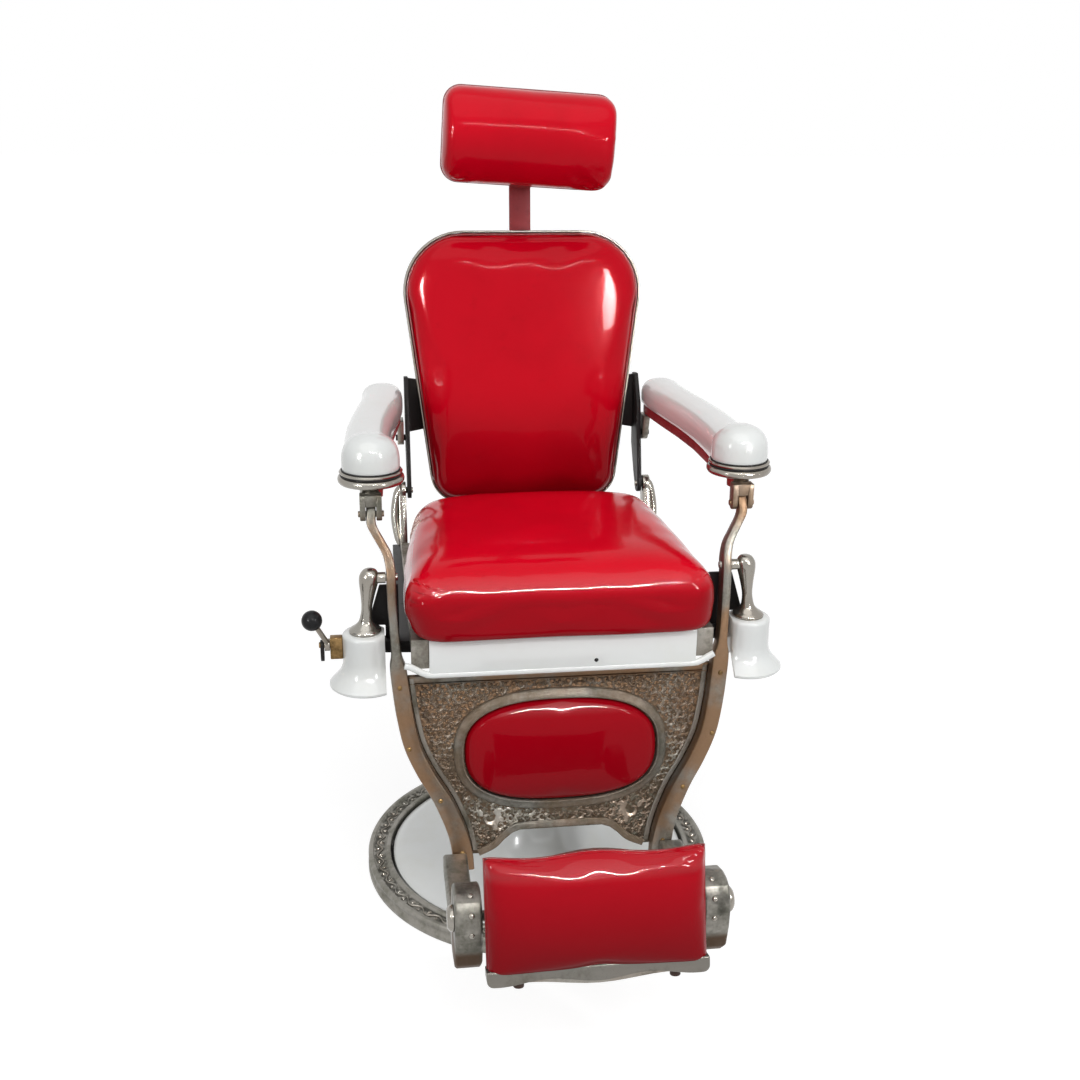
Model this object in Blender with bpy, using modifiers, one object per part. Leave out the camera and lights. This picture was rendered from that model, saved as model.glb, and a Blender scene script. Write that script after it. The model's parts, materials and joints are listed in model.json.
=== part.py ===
"""An antique hydraulic barber chair: base, lift, seat, linked back, arms and leg frame, footrest and headrest.

Metres, +Z up, the front towards -Y. The origin is on the floor, on the swivel axis.
"""

import math

import bmesh
import bpy
from mathutils import Euler, Quaternion, Vector

# Fits: between pieces that touch, and between pieces that move on each other
GAP = 0.0003
RUN = 0.0006

# Base
RING_RADIUS = 0.330
RING_BAND = 0.043
RING_HEIGHT = 0.031
PLATE_THICK = 0.012
PEDESTAL_NECK = 0.085
PEDESTAL_TOP = 0.300
PEDESTAL_WALL = 0.006
CYLINDER_BORE = 0.050
CYLINDER_WALL = 0.012
RAM_RADIUS = 0.045
RAM_LENGTH = 0.296
SPIGOT_RADIUS = 0.030
SPIGOT_LENGTH = 0.083
FLANGE_RADIUS = 0.078
FLANGE_THICK = 0.016
FLANGE_Z = 0.446
WASHER_THICK = 0.006
HUB_RADIUS = 0.075

# Seat
SEAT_Z = 0.600
BOARD_THICK = 0.0237
FRAME_THICK = 0.020
FRAME_FRONT = -0.294
FRAME_BACK = 0.235
CENTRE_HALF = 0.2445
EAR_BACK = -0.2263
EAR_FRONT = -0.245
BELL_RADIUS = 0.037
BELL_FLARE = 0.023
BELL_LOW = 0.507
BELL_TOP = 0.598
APRON_THICK = 0.0155
SEAT_RAIL_WIDTH = 0.0265
LIP_LOW = 0.535
CUSHION_FRONT = -0.335
CUSHION_BACK = 0.172
CUSHION_EDGE = 0.098
CUSHION_CROWN = 0.022

# Linkage: back hinge, leg pivot, and the shared crank of the arms
PIVOT_Z = 0.690
HINGE_Y = 0.225
LEG_Y = -0.255
CRANK_Y = 0.025
CRANK_Z = 0.099
STUD_RADIUS = 0.006

# Back
BACK_TILT = math.radians(5.0)
BACK_LOW = -0.031
BACK_HIGH = 0.490
BACK_HALF_LOW = 0.177
BACK_HALF_HIGH = 0.242
BACK_FRONT = 0.0225
BACK_THICK = 0.025
BACK_CROWN = 0.056
RIM_THICK = 0.0035
STRAP_IN = 0.2225
STRAP_THICK = 0.008
HINGE_THICK = 0.014
SIDE_PLAY = 0.003

# Headrest
POST_HALF = 0.020
POST_THICK = 0.010
SOCKET_WALL = 0.0075
HEAD_Y = 0.260
HEAD_Z = 1.345
HEAD_HALF = 0.154
HEAD_HIGH = 0.166
HEAD_THICK = 0.082
HEAD_CANT = math.radians(3.5)
HEAD_PIN = 0.004

# Arms
ARM_HALF = 0.0385
ARM_LOW = 0.8445
ARM_HIGH = 0.8930
DOME_Y = -0.210
DOME_RADIUS = 0.046
DOME_HIGH = 0.916
DOME_LOW = 0.8573
FOOT_RADIUS = 0.053
FOOT_LOW = 0.835
RAIL_LOW = 0.826
CLEVIS_HALF = 0.0175
CLEVIS_SLOT = 0.0082

# Leg frame and footrest
RAIL_SLOPE = 0.130
RAIL_DEPTH = 0.014
PANEL_TOP = -0.169
PANEL_THICK = 0.008
OVAL_HALF = 0.163
OVAL_HIGH = 0.089
OVAL_RIM = 0.017
OVAL_DROP = -0.305
BRACKET_THICK = 0.040
TREAD_Y = -0.600
TREAD_Z = 0.287
TREAD_TILT = math.radians(15.0)
TREAD_HALF = 0.1575
TREAD_LOW = -0.088
TREAD_HIGH = 0.100
TRUNNION = 0.008

# Lever
LEVER_Y = -0.255
LEVER_Z = 0.578
KNOB_RADIUS = 0.0165

# Heights and depths that follow from the sizes above
FRAME_TOP = SEAT_Z - 2 * GAP - BOARD_THICK
FRAME_LOW = FRAME_TOP - FRAME_THICK
STRAP_OUT = STRAP_IN + STRAP_THICK
BRACKET_FACE = STRAP_OUT + SIDE_PLAY
LINK_Y = HINGE_Y + CRANK_Y
LINK_Z = PIVOT_Z + CRANK_Z
CLEVIS_Y = LEG_Y + CRANK_Y
RAIL_TILT = math.atan(RAIL_SLOPE)
RING_INNER = RING_RADIUS - RING_BAND
FRAME_HALF = CENTRE_HALF + 0.0175
APRON_HALF = CENTRE_HALF - SEAT_RAIL_WIDTH
LIP_HALF = CENTRE_HALF + 0.0055
CUSHION_HALF = CENTRE_HALF + 0.0025
RAIL_X = CENTRE_HALF + 0.0295
CLEVIS_X = RAIL_X + 0.028
DOME_X = CLEVIS_X - 0.002
BELL_FLAT = RAIL_X + 0.013
BELL_X = BELL_FLAT + 0.031
EAR_END = BELL_X - 0.0113
LEVER_FACE = BELL_X + BELL_RADIUS + 0.0195
BRACKET_IN = TREAD_HALF + 0.0055
BRACKET_OUT = BRACKET_IN + BRACKET_THICK
RAIL_FOOT = BRACKET_IN + 0.006

PARTS = "barber_chair"
CUTTERS = "cutters"


def start():
    for obj in list(bpy.data.objects):
        bpy.data.objects.remove(obj)
    for name in (PARTS, CUTTERS):
        group = bpy.data.collections.new(name)
        bpy.context.scene.collection.children.link(group)


def material(name, colour, rough, metal=0.0):
    made = bpy.data.materials.get(name)
    if made:
        return made
    made = bpy.data.materials.new(name)
    made.use_nodes = True
    shader = made.node_tree.nodes["Principled BSDF"]
    shader.inputs["Base Color"].default_value = (*colour, 1)
    shader.inputs["Roughness"].default_value = rough
    shader.inputs["Metallic"].default_value = metal
    made.diffuse_color = (*colour, 1)
    return made


def nickel():
    return material("nickel", (0.55, 0.52, 0.47), 0.3, 1.0)


def porcelain():
    return material("porcelain", (0.85, 0.87, 0.85), 0.12)


def red_vinyl():
    return material("red_vinyl", (0.50, 0.005, 0.02), 0.3)


def iron():
    return material("iron", (0.08, 0.08, 0.085), 0.5, 1.0)


def place(name, mesh, paint, group=PARTS):
    obj = bpy.data.objects.new(name, mesh)
    bpy.data.collections[group].objects.link(obj)
    if paint:
        mesh.materials.append(paint)
    return obj


def turned(name, profile, paint, steps=24, loop=False, group=PARTS):
    """A shape of revolution about local Z from radius and height points, run down its outer side."""
    count = len(profile)
    edges = [(i, i + 1) for i in range(count - 1)]
    if loop:
        edges.append((count - 1, 0))
    mesh = bpy.data.meshes.new(name)
    mesh.from_pydata([(r, 0, z) for r, z in profile], edges, [])
    obj = place(name, mesh, paint, group)
    screw = obj.modifiers.new("Turn", "SCREW")
    screw.steps = steps
    screw.render_steps = steps
    screw.use_merge_vertices = True
    screw.merge_threshold = 0.00001
    weld = obj.modifiers.new("Weld", "WELD")
    weld.merge_threshold = 0.00001
    return obj


def rod(name, radius, low, high, paint, steps=16, group=PARTS):
    """A plain round rod about local Z."""
    return turned(name, [(0, high), (radius, high), (radius, low), (0, low)], paint, steps, group=group)


def plate(name, loops, low, high, paint, bevel=0.0, group=PARTS):
    """A flat outline in local XY, with further loops as holes, filled and extruded in Z."""
    curve = bpy.data.curves.new(name, "CURVE")
    curve.dimensions = "2D"
    curve.fill_mode = "BOTH"
    curve.extrude = (high - low) / 2
    for loop in loops:
        spline = curve.splines.new("POLY")
        spline.points.add(len(loop) - 1)
        for point, (x, y) in zip(spline.points, loop):
            point.co = (x, y, 0, 1)
        spline.use_cyclic_u = True
    drawn = bpy.data.objects.new(name + "_outline", curve)
    mesh = bpy.data.meshes.new_from_object(drawn)
    bpy.data.objects.remove(drawn)
    bm = bmesh.new()
    bm.from_mesh(mesh)
    bmesh.ops.remove_doubles(bm, verts=bm.verts, dist=0.00001)
    bmesh.ops.translate(bm, verts=bm.verts, vec=(0, 0, (low + high) / 2))
    bmesh.ops.dissolve_limit(bm, angle_limit=0.01, verts=bm.verts, edges=bm.edges)
    bmesh.ops.recalc_face_normals(bm, faces=bm.faces)
    bm.to_mesh(mesh)
    bm.free()
    mesh.name = name
    obj = place(name, mesh, paint, group)
    if bevel:
        soften(obj, bevel)
    return obj


def soften(obj, width, segments=1):
    bevel = obj.modifiers.new("Bevel", "BEVEL")
    bevel.width = width
    bevel.segments = segments
    bevel.limit_method = "ANGLE"
    bevel.angle_limit = math.radians(40)


def block(name, low, high, paint, bevel=0.0, group=PARTS):
    """A box between two corners."""
    low, high = Vector(low), Vector(high)
    bm = bmesh.new()
    bmesh.ops.create_cube(bm, size=1)
    bmesh.ops.scale(bm, verts=bm.verts, vec=high - low)
    mesh = bpy.data.meshes.new(name)
    bm.to_mesh(mesh)
    bm.free()
    obj = place(name, mesh, paint, group)
    obj.location = (low + high) / 2
    if bevel:
        soften(obj, bevel)
    return obj


def tube(name, points, radius, paint, group=PARTS):
    """A round bar along points, as a closed mesh."""
    curve = bpy.data.curves.new(name, "CURVE")
    curve.dimensions = "3D"
    curve.bevel_depth = radius
    curve.bevel_resolution = 2
    curve.use_fill_caps = True
    spline = curve.splines.new("POLY")
    spline.points.add(len(points) - 1)
    for point, (x, y, z) in zip(spline.points, points):
        point.co = (x, y, z, 1)
    drawn = bpy.data.objects.new(name + "_path", curve)
    mesh = bpy.data.meshes.new_from_object(drawn)
    bpy.data.objects.remove(drawn)
    bm = bmesh.new()
    bm.from_mesh(mesh)
    bmesh.ops.remove_doubles(bm, verts=bm.verts, dist=0.00001)
    bmesh.ops.recalc_face_normals(bm, faces=bm.faces)
    bm.to_mesh(mesh)
    bm.free()
    mesh.name = name
    return place(name, mesh, paint, group)


def loft(name, rings, paint, ends=(True, True), group=PARTS):
    """A body through unlike rings of points that run the same way round."""
    bm = bmesh.new()
    rows = [[bm.verts.new(point) for point in ring] for ring in rings]
    for a, b in zip(rows, rows[1:]):
        for i in range(len(a)):
            j = (i + 1) % len(a)
            bm.faces.new((a[i], a[j], b[j], b[i]))
    if ends[0]:
        bm.faces.new(rows[0])
    if ends[1]:
        bm.faces.new(rows[-1])
    bmesh.ops.recalc_face_normals(bm, faces=bm.faces)
    mesh = bpy.data.meshes.new(name)
    bm.to_mesh(mesh)
    bm.free()
    return place(name, mesh, paint, group)


def pillow(name, shape, cuts, paint):
    """A cube's cage cut into a grid, moved point by point to a soft form and smoothed."""
    bm = bmesh.new()
    bmesh.ops.create_cube(bm, size=2)
    bmesh.ops.subdivide_edges(bm, edges=bm.edges[:], cuts=cuts, use_grid_fill=True)
    for vert in bm.verts:
        vert.co = shape(*vert.co)
    bmesh.ops.recalc_face_normals(bm, faces=bm.faces)
    mesh = bpy.data.meshes.new(name)
    bm.to_mesh(mesh)
    bm.free()
    obj = place(name, mesh, paint)
    smooth = obj.modifiers.new("Smooth", "SUBSURF")
    smooth.levels = 1
    smooth.render_levels = 1
    return obj


def combine(obj, other, how):
    """A Boolean with another object, which becomes a cutter."""
    boolean = obj.modifiers.new(how.title(), "BOOLEAN")
    boolean.operation = how
    boolean.solver = "EXACT"
    boolean.object = other
    parts = bpy.data.collections[PARTS]
    if other.name in parts.objects:
        parts.objects.unlink(other)
        bpy.data.collections[CUTTERS].objects.link(other)
    other.hide_render = True
    other.display_type = "WIRE"


def drill(obj, name, radius, x_low, x_high, y, z):
    """A round hole along X."""
    bit = rod("cut_" + name, radius, min(x_low, x_high), max(x_low, x_high), None, group=CUTTERS)
    bit.rotation_euler = (0, math.pi / 2, 0)
    bit.location = (0, y, z)
    combine(obj, bit, "DIFFERENCE")


def rounded(corners, steps=5):
    """A closed outline whose corners, each given with a radius, are turned into arcs."""
    loop = []
    count = len(corners)
    for i, (x, y, radius) in enumerate(corners):
        here = Vector((x, y))
        back = (Vector(corners[i - 1][:2]) - here).normalized()
        ahead = (Vector(corners[(i + 1) % count][:2]) - here).normalized()
        if radius <= 0:
            loop.append((x, y))
            continue
        half = back.angle(ahead) / 2
        reach = radius / math.tan(half)
        centre = here + (back + ahead).normalized() * (radius / math.sin(half))
        first = here + back * reach - centre
        last = here + ahead * reach - centre
        turn = first.angle_signed(last)
        for k in range(steps + 1):
            angle = -turn * k / steps
            c, s = math.cos(angle), math.sin(angle)
            loop.append((centre.x + c * first.x - s * first.y, centre.y + s * first.x + c * first.y))
    return loop


def stadium(half, high, steps=36, power=2.6):
    """A superellipse outline."""
    loop = []
    for k in range(steps):
        c = math.cos(2 * math.pi * k / steps)
        s = math.sin(2 * math.pi * k / steps)
        x = math.copysign(abs(c) ** (2 / power), c) * half
        y = math.copysign(abs(s) ** (2 / power), s) * high
        loop.append((x, y))
    return loop


def reach(loop, x, y):
    """How far a ray from the middle runs to an outline, in lengths of the ray."""
    best = 0.0
    for (x0, y0), (x1, y1) in zip(loop, loop[1:] + loop[:1]):
        ex, ey = x1 - x0, y1 - y0
        cross = x * ey - y * ex
        if abs(cross) < 1e-12:
            continue
        along = (x0 * y - y0 * x) / cross
        if -1e-6 <= along <= 1 + 1e-6:
            best = max(best, (x0 * ey - y0 * ex) / cross)
    return best


def fit(loop, u, v, half, high, power=3.0):
    """A point of a square grid moved inside an outline around the middle, with lines drawn to the edge."""
    size = max(abs(u), abs(v))
    if size == 0:
        return 0.0, 0.0
    x, y = u / size * half, v / size * high
    share = (1 - (1 - size) ** power) * reach(loop, x, y)
    return x * share, y * share


def spread(w, power=2.2):
    """Grid lines of a soft form's side drawn towards its edges."""
    return math.copysign(1 - (1 - abs(w)) ** power, w)


def axis_empty(name, spot, parent=None):
    empty = bpy.data.objects.new(name, None)
    bpy.data.collections[PARTS].objects.link(empty)
    empty.empty_display_size = 0.05
    empty.location = spot
    if parent:
        hold(empty, parent)
    return empty


def hold(obj, parent):
    """Parents an object and leaves it where it stands."""
    bpy.context.view_layer.update()
    obj.parent = parent
    obj.matrix_parent_inverse = parent.matrix_world.inverted()


def side_view(obj, at=(0, 0, 0)):
    """Stands an outline drawn as depth and height upright, its thickness along X."""
    obj.rotation_euler = (math.pi / 2, 0, math.pi / 2)
    obj.location = at


def base():
    r, inner, h = RING_RADIUS, RING_INNER, RING_HEIGHT
    ring = [
        (r - 0.003, h), (r, h - 0.003), (r, 0), (inner, 0), (inner, h),
        (inner + 0.008, h), (inner + 0.012, h - 0.004), (r - 0.012, h - 0.004), (r - 0.009, h),
    ]
    made = [turned("base_ring", ring, nickel(), 40, loop=True)]
    disc_radius = inner - GAP
    made.append(rod("base_plate", disc_radius, 0, PLATE_THICK, iron(), 40))
    foot = PLATE_THICK + GAP
    neck, top, wall = PEDESTAL_NECK, PEDESTAL_TOP, PEDESTAL_WALL
    edge = disc_radius - 0.006
    bell = [
        (neck, top), (neck, 0.20), (neck + 0.010, 0.13), (neck + 0.040, 0.080), (neck + 0.100, 0.048),
        (edge - 0.025, 0.034), (edge, 0.026), (edge, foot), (edge - wall, foot), (edge - wall, 0.0205),
        (edge - 0.030, 0.028), (neck + 0.094, 0.042), (neck + 0.034, 0.0745),
        (neck + 0.010 - wall, 0.128), (neck - wall, 0.20), (neck - wall, top),
    ]
    made.append(turned("base_pedestal", bell, porcelain(), 28, loop=True))
    bore, outer = CYLINDER_BORE, CYLINDER_BORE + CYLINDER_WALL
    floor, lid = foot + CYLINDER_WALL, top - 0.015
    cup = [(0, floor), (bore, floor), (bore, lid), (outer, lid), (outer, foot), (0, foot)]
    made.append(turned("pump_cylinder", cup, iron()))
    nut_in, nut_out = RAM_RADIUS + RUN, neck + 0.007
    plug = neck - wall - GAP - 0.0002
    nut = [
        (nut_out - 0.004, top + 0.025), (nut_out, top + 0.021), (nut_out, top + GAP), (plug, top + GAP),
        (plug, lid + GAP), (nut_in, lid + GAP), (nut_in, top + 0.025),
    ]
    made.append(turned("gland_nut", nut, nickel(), loop=True))
    return made


def lift():
    low = FLANGE_Z - RAM_LENGTH
    head = FLANGE_Z + FLANGE_THICK
    stub = low - 0.022
    ram = [
        (0, head + SPIGOT_LENGTH), (SPIGOT_RADIUS, head + SPIGOT_LENGTH), (SPIGOT_RADIUS, head),
        (FLANGE_RADIUS, head), (FLANGE_RADIUS, FLANGE_Z), (RAM_RADIUS, FLANGE_Z), (RAM_RADIUS, low),
        (0.018, low), (0.018, stub), (0, stub),
    ]
    made = [turned("lift_ram", ram, nickel())]
    seal = [
        (CYLINDER_BORE - RUN, low - GAP), (CYLINDER_BORE - RUN, stub + GAP),
        (0.018 + GAP, stub + GAP), (0.018 + GAP, low - GAP),
    ]
    leather = material("leather_seal", (0.12, 0.06, 0.03), 0.7)
    made.append(turned("piston_cup", seal, leather, loop=True))
    washer = [
        (FLANGE_RADIUS - 0.002, head + GAP + WASHER_THICK), (FLANGE_RADIUS - 0.002, head + GAP),
        (SPIGOT_RADIUS + RUN, head + GAP), (SPIGOT_RADIUS + RUN, head + GAP + WASHER_THICK),
    ]
    bronze = material("bronze", (0.45, 0.28, 0.10), 0.35, 1.0)
    made.append(turned("thrust_washer", washer, bronze, loop=True))
    return made


def bell_profile(extra=0.0):
    """The outer side of a porcelain bell, from its top edge to its flared foot."""
    low, top, r, flare = BELL_LOW, BELL_TOP, BELL_RADIUS, BELL_FLARE
    side = [
        (r - 0.006, top), (r, top - 0.006), (r, low + 0.041), (r + 0.25 * flare, low + 0.025),
        (r + 0.70 * flare, low + 0.012), (r + flare, low + 0.005), (r + flare - 0.002, low),
    ]
    return [(radius + extra, z) for radius, z in side]


def bell_flat(side, name, face):
    """A box that takes a bell's inner side off, for the room of the leg rail."""
    low, high = sorted((side * (BELL_X - 0.12), side * face))
    return block(name, (low, LEG_Y - 0.09, BELL_LOW - 0.02), (high, LEG_Y + 0.09, BELL_TOP + 0.04), None)


def bell(side):
    """A porcelain bell beside the seat that carries a baluster, flat inside and bored from below."""
    name = "seat_bell_right" if side > 0 else "seat_bell_left"
    obj = turned(name, [(0, BELL_TOP)] + bell_profile() + [(0, BELL_LOW)], porcelain(), 24)
    obj.location = (side * BELL_X, LEG_Y, 0)
    combine(obj, bell_flat(side, "flat_" + name, BELL_FLAT), "DIFFERENCE")
    bore = rod("bore_" + name, 0.024, BELL_LOW - 0.010, BELL_TOP - 0.012, None)
    bore.location = (side * (BELL_X + 0.004), LEG_Y, 0)
    combine(obj, bore, "DIFFERENCE")
    return obj


def bell_cutter(side):
    """A bell a little larger than the real one, to fit other pieces against it."""
    outer = bell_profile(GAP)
    profile = [(0, BELL_TOP + 0.02), (outer[1][0], BELL_TOP + 0.02)] + outer[2:] + [(0, BELL_LOW)]
    name = "cut_bell_right" if side > 0 else "cut_bell_left"
    cutter = turned(name, profile, None, 24, group=CUTTERS)
    cutter.location = (side * BELL_X, LEG_Y, 0)
    cutter.hide_render = True
    cutter.display_type = "WIRE"
    combine(cutter, bell_flat(side, "flat_" + name, BELL_FLAT - GAP), "DIFFERENCE")
    return cutter


def baluster(side):
    """A leaning turned standard on the bell, with the stud on which the leg rail swings."""
    name = "baluster_right" if side > 0 else "baluster_left"
    foot = BELL_TOP + GAP
    z = PIVOT_Z
    profile = [
        (0.005, z + 0.0160), (0.0105, z + 0.0135), (0.0150, z + 0.006), (0.0155, z), (0.0145, z - 0.012),
        (0.0115, z - 0.028), (0.009, z - 0.048), (0.0095, foot + 0.030), (0.0125, foot + 0.018),
        (0.0195, foot + 0.010), (0.0245, foot + 0.0045), (0.026, foot + 0.002), (0.0255, foot),
    ]
    rings = []
    for radius, height in profile:
        x = BELL_X - 0.009 * (height - foot) / (z - foot)
        rings.append([
            (side * x + radius * math.cos(2 * math.pi * k / 14), LEG_Y + radius * math.sin(2 * math.pi * k / 14), height)
            for k in range(14)
        ])
    obj = loft(name, rings, nickel())
    stud = [(0, 0.053), (STUD_RADIUS, 0.053), (STUD_RADIUS, 0.0268), (0.009, 0.0262), (0.009, 0.004), (0, 0.004)]
    pin = turned("stud_" + name, stud, None, 16)
    pin.rotation_euler = (0, -side * math.pi / 2, 0)
    pin.location = (side * (BELL_X - 0.009), LEG_Y, PIVOT_Z)
    combine(obj, pin, "UNION")
    return obj


def hinge_bracket(side):
    """A hooked bracket at the rear of the seat frame, with the stud of the back hinge."""
    name = "back_hinge_right" if side > 0 else "back_hinge_left"
    y, z, foot = HINGE_Y, PIVOT_Z, FRAME_TOP + GAP
    eye = [(y + 0.017 * math.cos(a), z + 0.017 * math.sin(a)) for a in
           [math.radians(d) for d in range(-20, 201, 20)]]
    loop = eye + [
        (y - 0.023, z - 0.020), (y - 0.032, z - 0.045), (y - 0.044, z - 0.070), (y - 0.050, foot + 0.012),
        (y - 0.050, foot), (y + 0.005, foot), (y + 0.005, foot + 0.012), (y - 0.006, z - 0.070),
        (y + 0.004, z - 0.042), (y + 0.011, z - 0.022),
    ]
    obj = plate(name, [loop], 0, HINGE_THICK, nickel())
    low = BRACKET_FACE if side > 0 else -BRACKET_FACE - HINGE_THICK
    side_view(obj, (low, 0, 0))
    stud = rod("stud_" + name, STUD_RADIUS, STRAP_IN - 0.003, BRACKET_FACE + 0.006, None)
    stud.rotation_euler = (0, side * math.pi / 2, 0)
    stud.location = (0, y, z)
    combine(obj, stud, "UNION")
    return obj


def seat_cushion():
    middle = (CUSHION_FRONT + CUSHION_BACK) / 2
    long = (CUSHION_BACK - CUSHION_FRONT) / 2
    half, rear = CUSHION_HALF, CUSHION_HALF - 0.022
    corners = [(half, -long, 0.035), (rear, long, 0.060), (-rear, long, 0.060), (-half, -long, 0.035)]
    loop = rounded(corners)

    def shape(u, v, w):
        x, y = fit(loop, u, v, half, long)
        fall = 0.020 * max(y / long, 0) ** 2
        top = CUSHION_EDGE - fall + CUSHION_CROWN * (1 - u * u) * (1 - v ** 4)
        rise = 0.5 + 0.5 * spread(w)
        swell = 1.008 - 0.030 * max(0, -w) ** 2 - 0.025 * max(0, w) ** 2
        return x * swell, middle + y * swell, SEAT_Z + top * rise

    return pillow("seat_cushion", shape, 3, red_vinyl())


def seat():
    made = []
    hub_low = FLANGE_Z + FLANGE_THICK + GAP + WASHER_THICK + RUN
    hub_top = FRAME_LOW - GAP
    bore = SPIGOT_RADIUS + RUN
    hub = [
        (HUB_RADIUS + 0.055, hub_top), (HUB_RADIUS + 0.055, hub_top - 0.014), (HUB_RADIUS + 0.012, hub_top - 0.026),
        (HUB_RADIUS, hub_top - 0.042), (HUB_RADIUS, hub_low), (bore, hub_low), (bore, hub_top),
    ]
    made.append(turned("seat_hub", hub, iron(), loop=True))
    loop = []
    for s in (1, -1):
        points = [(s * CENTRE_HALF, FRAME_FRONT), (s * CENTRE_HALF, EAR_FRONT - 0.006), (s * EAR_END, EAR_FRONT),
                  (s * EAR_END, EAR_BACK), (s * FRAME_HALF, EAR_BACK + 0.012), (s * FRAME_HALF, FRAME_BACK)]
        loop += points if s > 0 else points[::-1]
    frame = plate("seat_frame", [loop], FRAME_LOW, FRAME_TOP, iron())
    fitted = {s: bell_cutter(s) for s in (1, -1)}
    for cutter in fitted.values():
        combine(frame, cutter, "DIFFERENCE")
    made.append(frame)
    board = [(-APRON_HALF, FRAME_FRONT), (APRON_HALF, FRAME_FRONT), (APRON_HALF, CUSHION_BACK),
             (-APRON_HALF, CUSHION_BACK)]
    wood = material("seat_board_wood", (0.35, 0.22, 0.12), 0.6)
    made.append(plate("seat_board", [board], FRAME_TOP + GAP, SEAT_Z - GAP, wood))
    made.append(apron())
    for s, name in ((1, "seat_rail_right"), (-1, "seat_rail_left")):
        front, back = FRAME_FRONT - GAP - 0.010, FRAME_FRONT - GAP
        lip = LIP_LOW + 0.0148
        profile = [(front, lip), (back, lip), (back, FRAME_TOP + GAP), (CUSHION_BACK, FRAME_TOP + GAP),
                   (CUSHION_BACK, SEAT_Z - GAP), (front, SEAT_Z - GAP)]
        inner, outer = APRON_HALF + GAP, CENTRE_HALF + 0.002
        rail = plate(name, [profile], 0, outer - inner, nickel())
        side_view(rail, (inner if s > 0 else -outer, 0, 0))
        made.append(rail)
        made.append(bell(s))
        made.append(baluster(s))
        made.append(hinge_bracket(s))
    made.append(seat_cushion())
    made.append(lever_bracket(fitted[-1]))
    return made


def apron():
    """The white front board with its rounded lower lip."""
    low, top = LIP_LOW, SEAT_Z - GAP
    half, lip = APRON_HALF, LIP_HALF
    right = [(half + 0.004, low), (lip - 0.014, low + 0.003), (lip - 0.004, low + 0.009), (lip, low + 0.0145),
             (half, low + 0.0145), (half, top)]
    loop = right + [(-x, z) for x, z in reversed(right)]
    obj = plate("seat_apron", [loop], 0, APRON_THICK, porcelain())
    obj.rotation_euler = (math.pi / 2, 0, 0)
    obj.location = (0, FRAME_FRONT - GAP, 0)
    y = FRAME_FRONT - GAP - APRON_THICK + 0.001
    path = [(-lip + 0.006, y, low + 0.0085), (-half - 0.004, y, low + 0.0055), (0, y, low + 0.0055),
            (half + 0.004, y, low + 0.0055), (lip - 0.006, y, low + 0.0085)]
    bead = tube("bead_apron", path, 0.0055, None)
    combine(obj, bead, "UNION")
    return obj


def lever_bracket(fitted):
    """The brass block on the left bell, with the stud of the lever and the trigger."""
    brass = material("brass", (0.55, 0.36, 0.10), 0.3, 1.0)
    wall = BELL_X + BELL_RADIUS
    obj = block("lever_bracket", (-LEVER_FACE, LEVER_Y - 0.008, LEVER_Z - 0.023),
                (-wall + 0.006, LEVER_Y + 0.008, LEVER_Z + 0.014), brass)
    combine(obj, fitted, "DIFFERENCE")
    stud = rod("stud_lever", 0.005, LEVER_FACE - 0.006, LEVER_FACE + 0.018, None)
    stud.rotation_euler = (0, -math.pi / 2, 0)
    stud.location = (0, LEVER_Y, LEVER_Z)
    combine(obj, stud, "UNION")
    return obj


def lever():
    """The side lever with its ball."""
    inner = LEVER_FACE + RUN
    eye = [(0.010, 0.008), (0.010, 0), (0.005 + RUN, 0), (0.005 + RUN, 0.008)]
    obj = turned("lever_arm", eye, nickel(), 16, loop=True)
    obj.rotation_euler = (0, -math.pi / 2, 0)
    obj.location = (-inner, LEVER_Y, LEVER_Z)
    root = Vector((-inner - 0.004, LEVER_Y - 0.0062, LEVER_Z + 0.0062))
    ball = Vector((-LEVER_FACE - 0.026, LEVER_Y - 0.025, LEVER_Z + 0.053))
    stem = tube("stem_lever", [root, ball.lerp(root, 0.10)], 0.0045, None)
    combine(obj, stem, "UNION")
    black = material("black_knob", (0.012, 0.012, 0.013), 0.25)
    bm = bmesh.new()
    bmesh.ops.create_uvsphere(bm, u_segments=14, v_segments=9, radius=KNOB_RADIUS)
    mesh = bpy.data.meshes.new("lever_knob")
    bm.to_mesh(mesh)
    bm.free()
    knob = place("lever_knob", mesh, black)
    knob.location = ball
    hole = tube("cut_knob", [root, ball.lerp(root, 0.09)], 0.0045 + GAP, None, CUTTERS)
    combine(knob, hole, "DIFFERENCE")
    return [obj, knob]


def trigger():
    """The hanging release trigger beside the lever."""
    low = LEVER_FACE + 2 * RUN + 0.0085
    drop = [(0.0085 * math.cos(a), 0.0085 * math.sin(a)) for a in [math.radians(d) for d in range(-20, 201, 20)]]
    drop += [(-0.0095, -0.012), (-0.0075, -0.022), (-0.002, -0.028), (0.004, -0.026), (0.0078, -0.016)]
    hole = [((0.005 + RUN) * math.cos(math.radians(d)), (0.005 + RUN) * math.sin(math.radians(d)))
            for d in range(0, 360, 24)]
    obj = plate("release_trigger", [drop, hole], 0, 0.006, iron())
    side_view(obj, (-low - 0.006, LEVER_Y, LEVER_Z))
    return [obj]


def back_point(depth, height):
    """A point of the back's own frame, along its rearward normal and up its slope, as world Y and Z."""
    c, s = math.cos(BACK_TILT), math.sin(BACK_TILT)
    return HINGE_Y + depth * c + height * s, PIVOT_Z - depth * s + height * c


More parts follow.
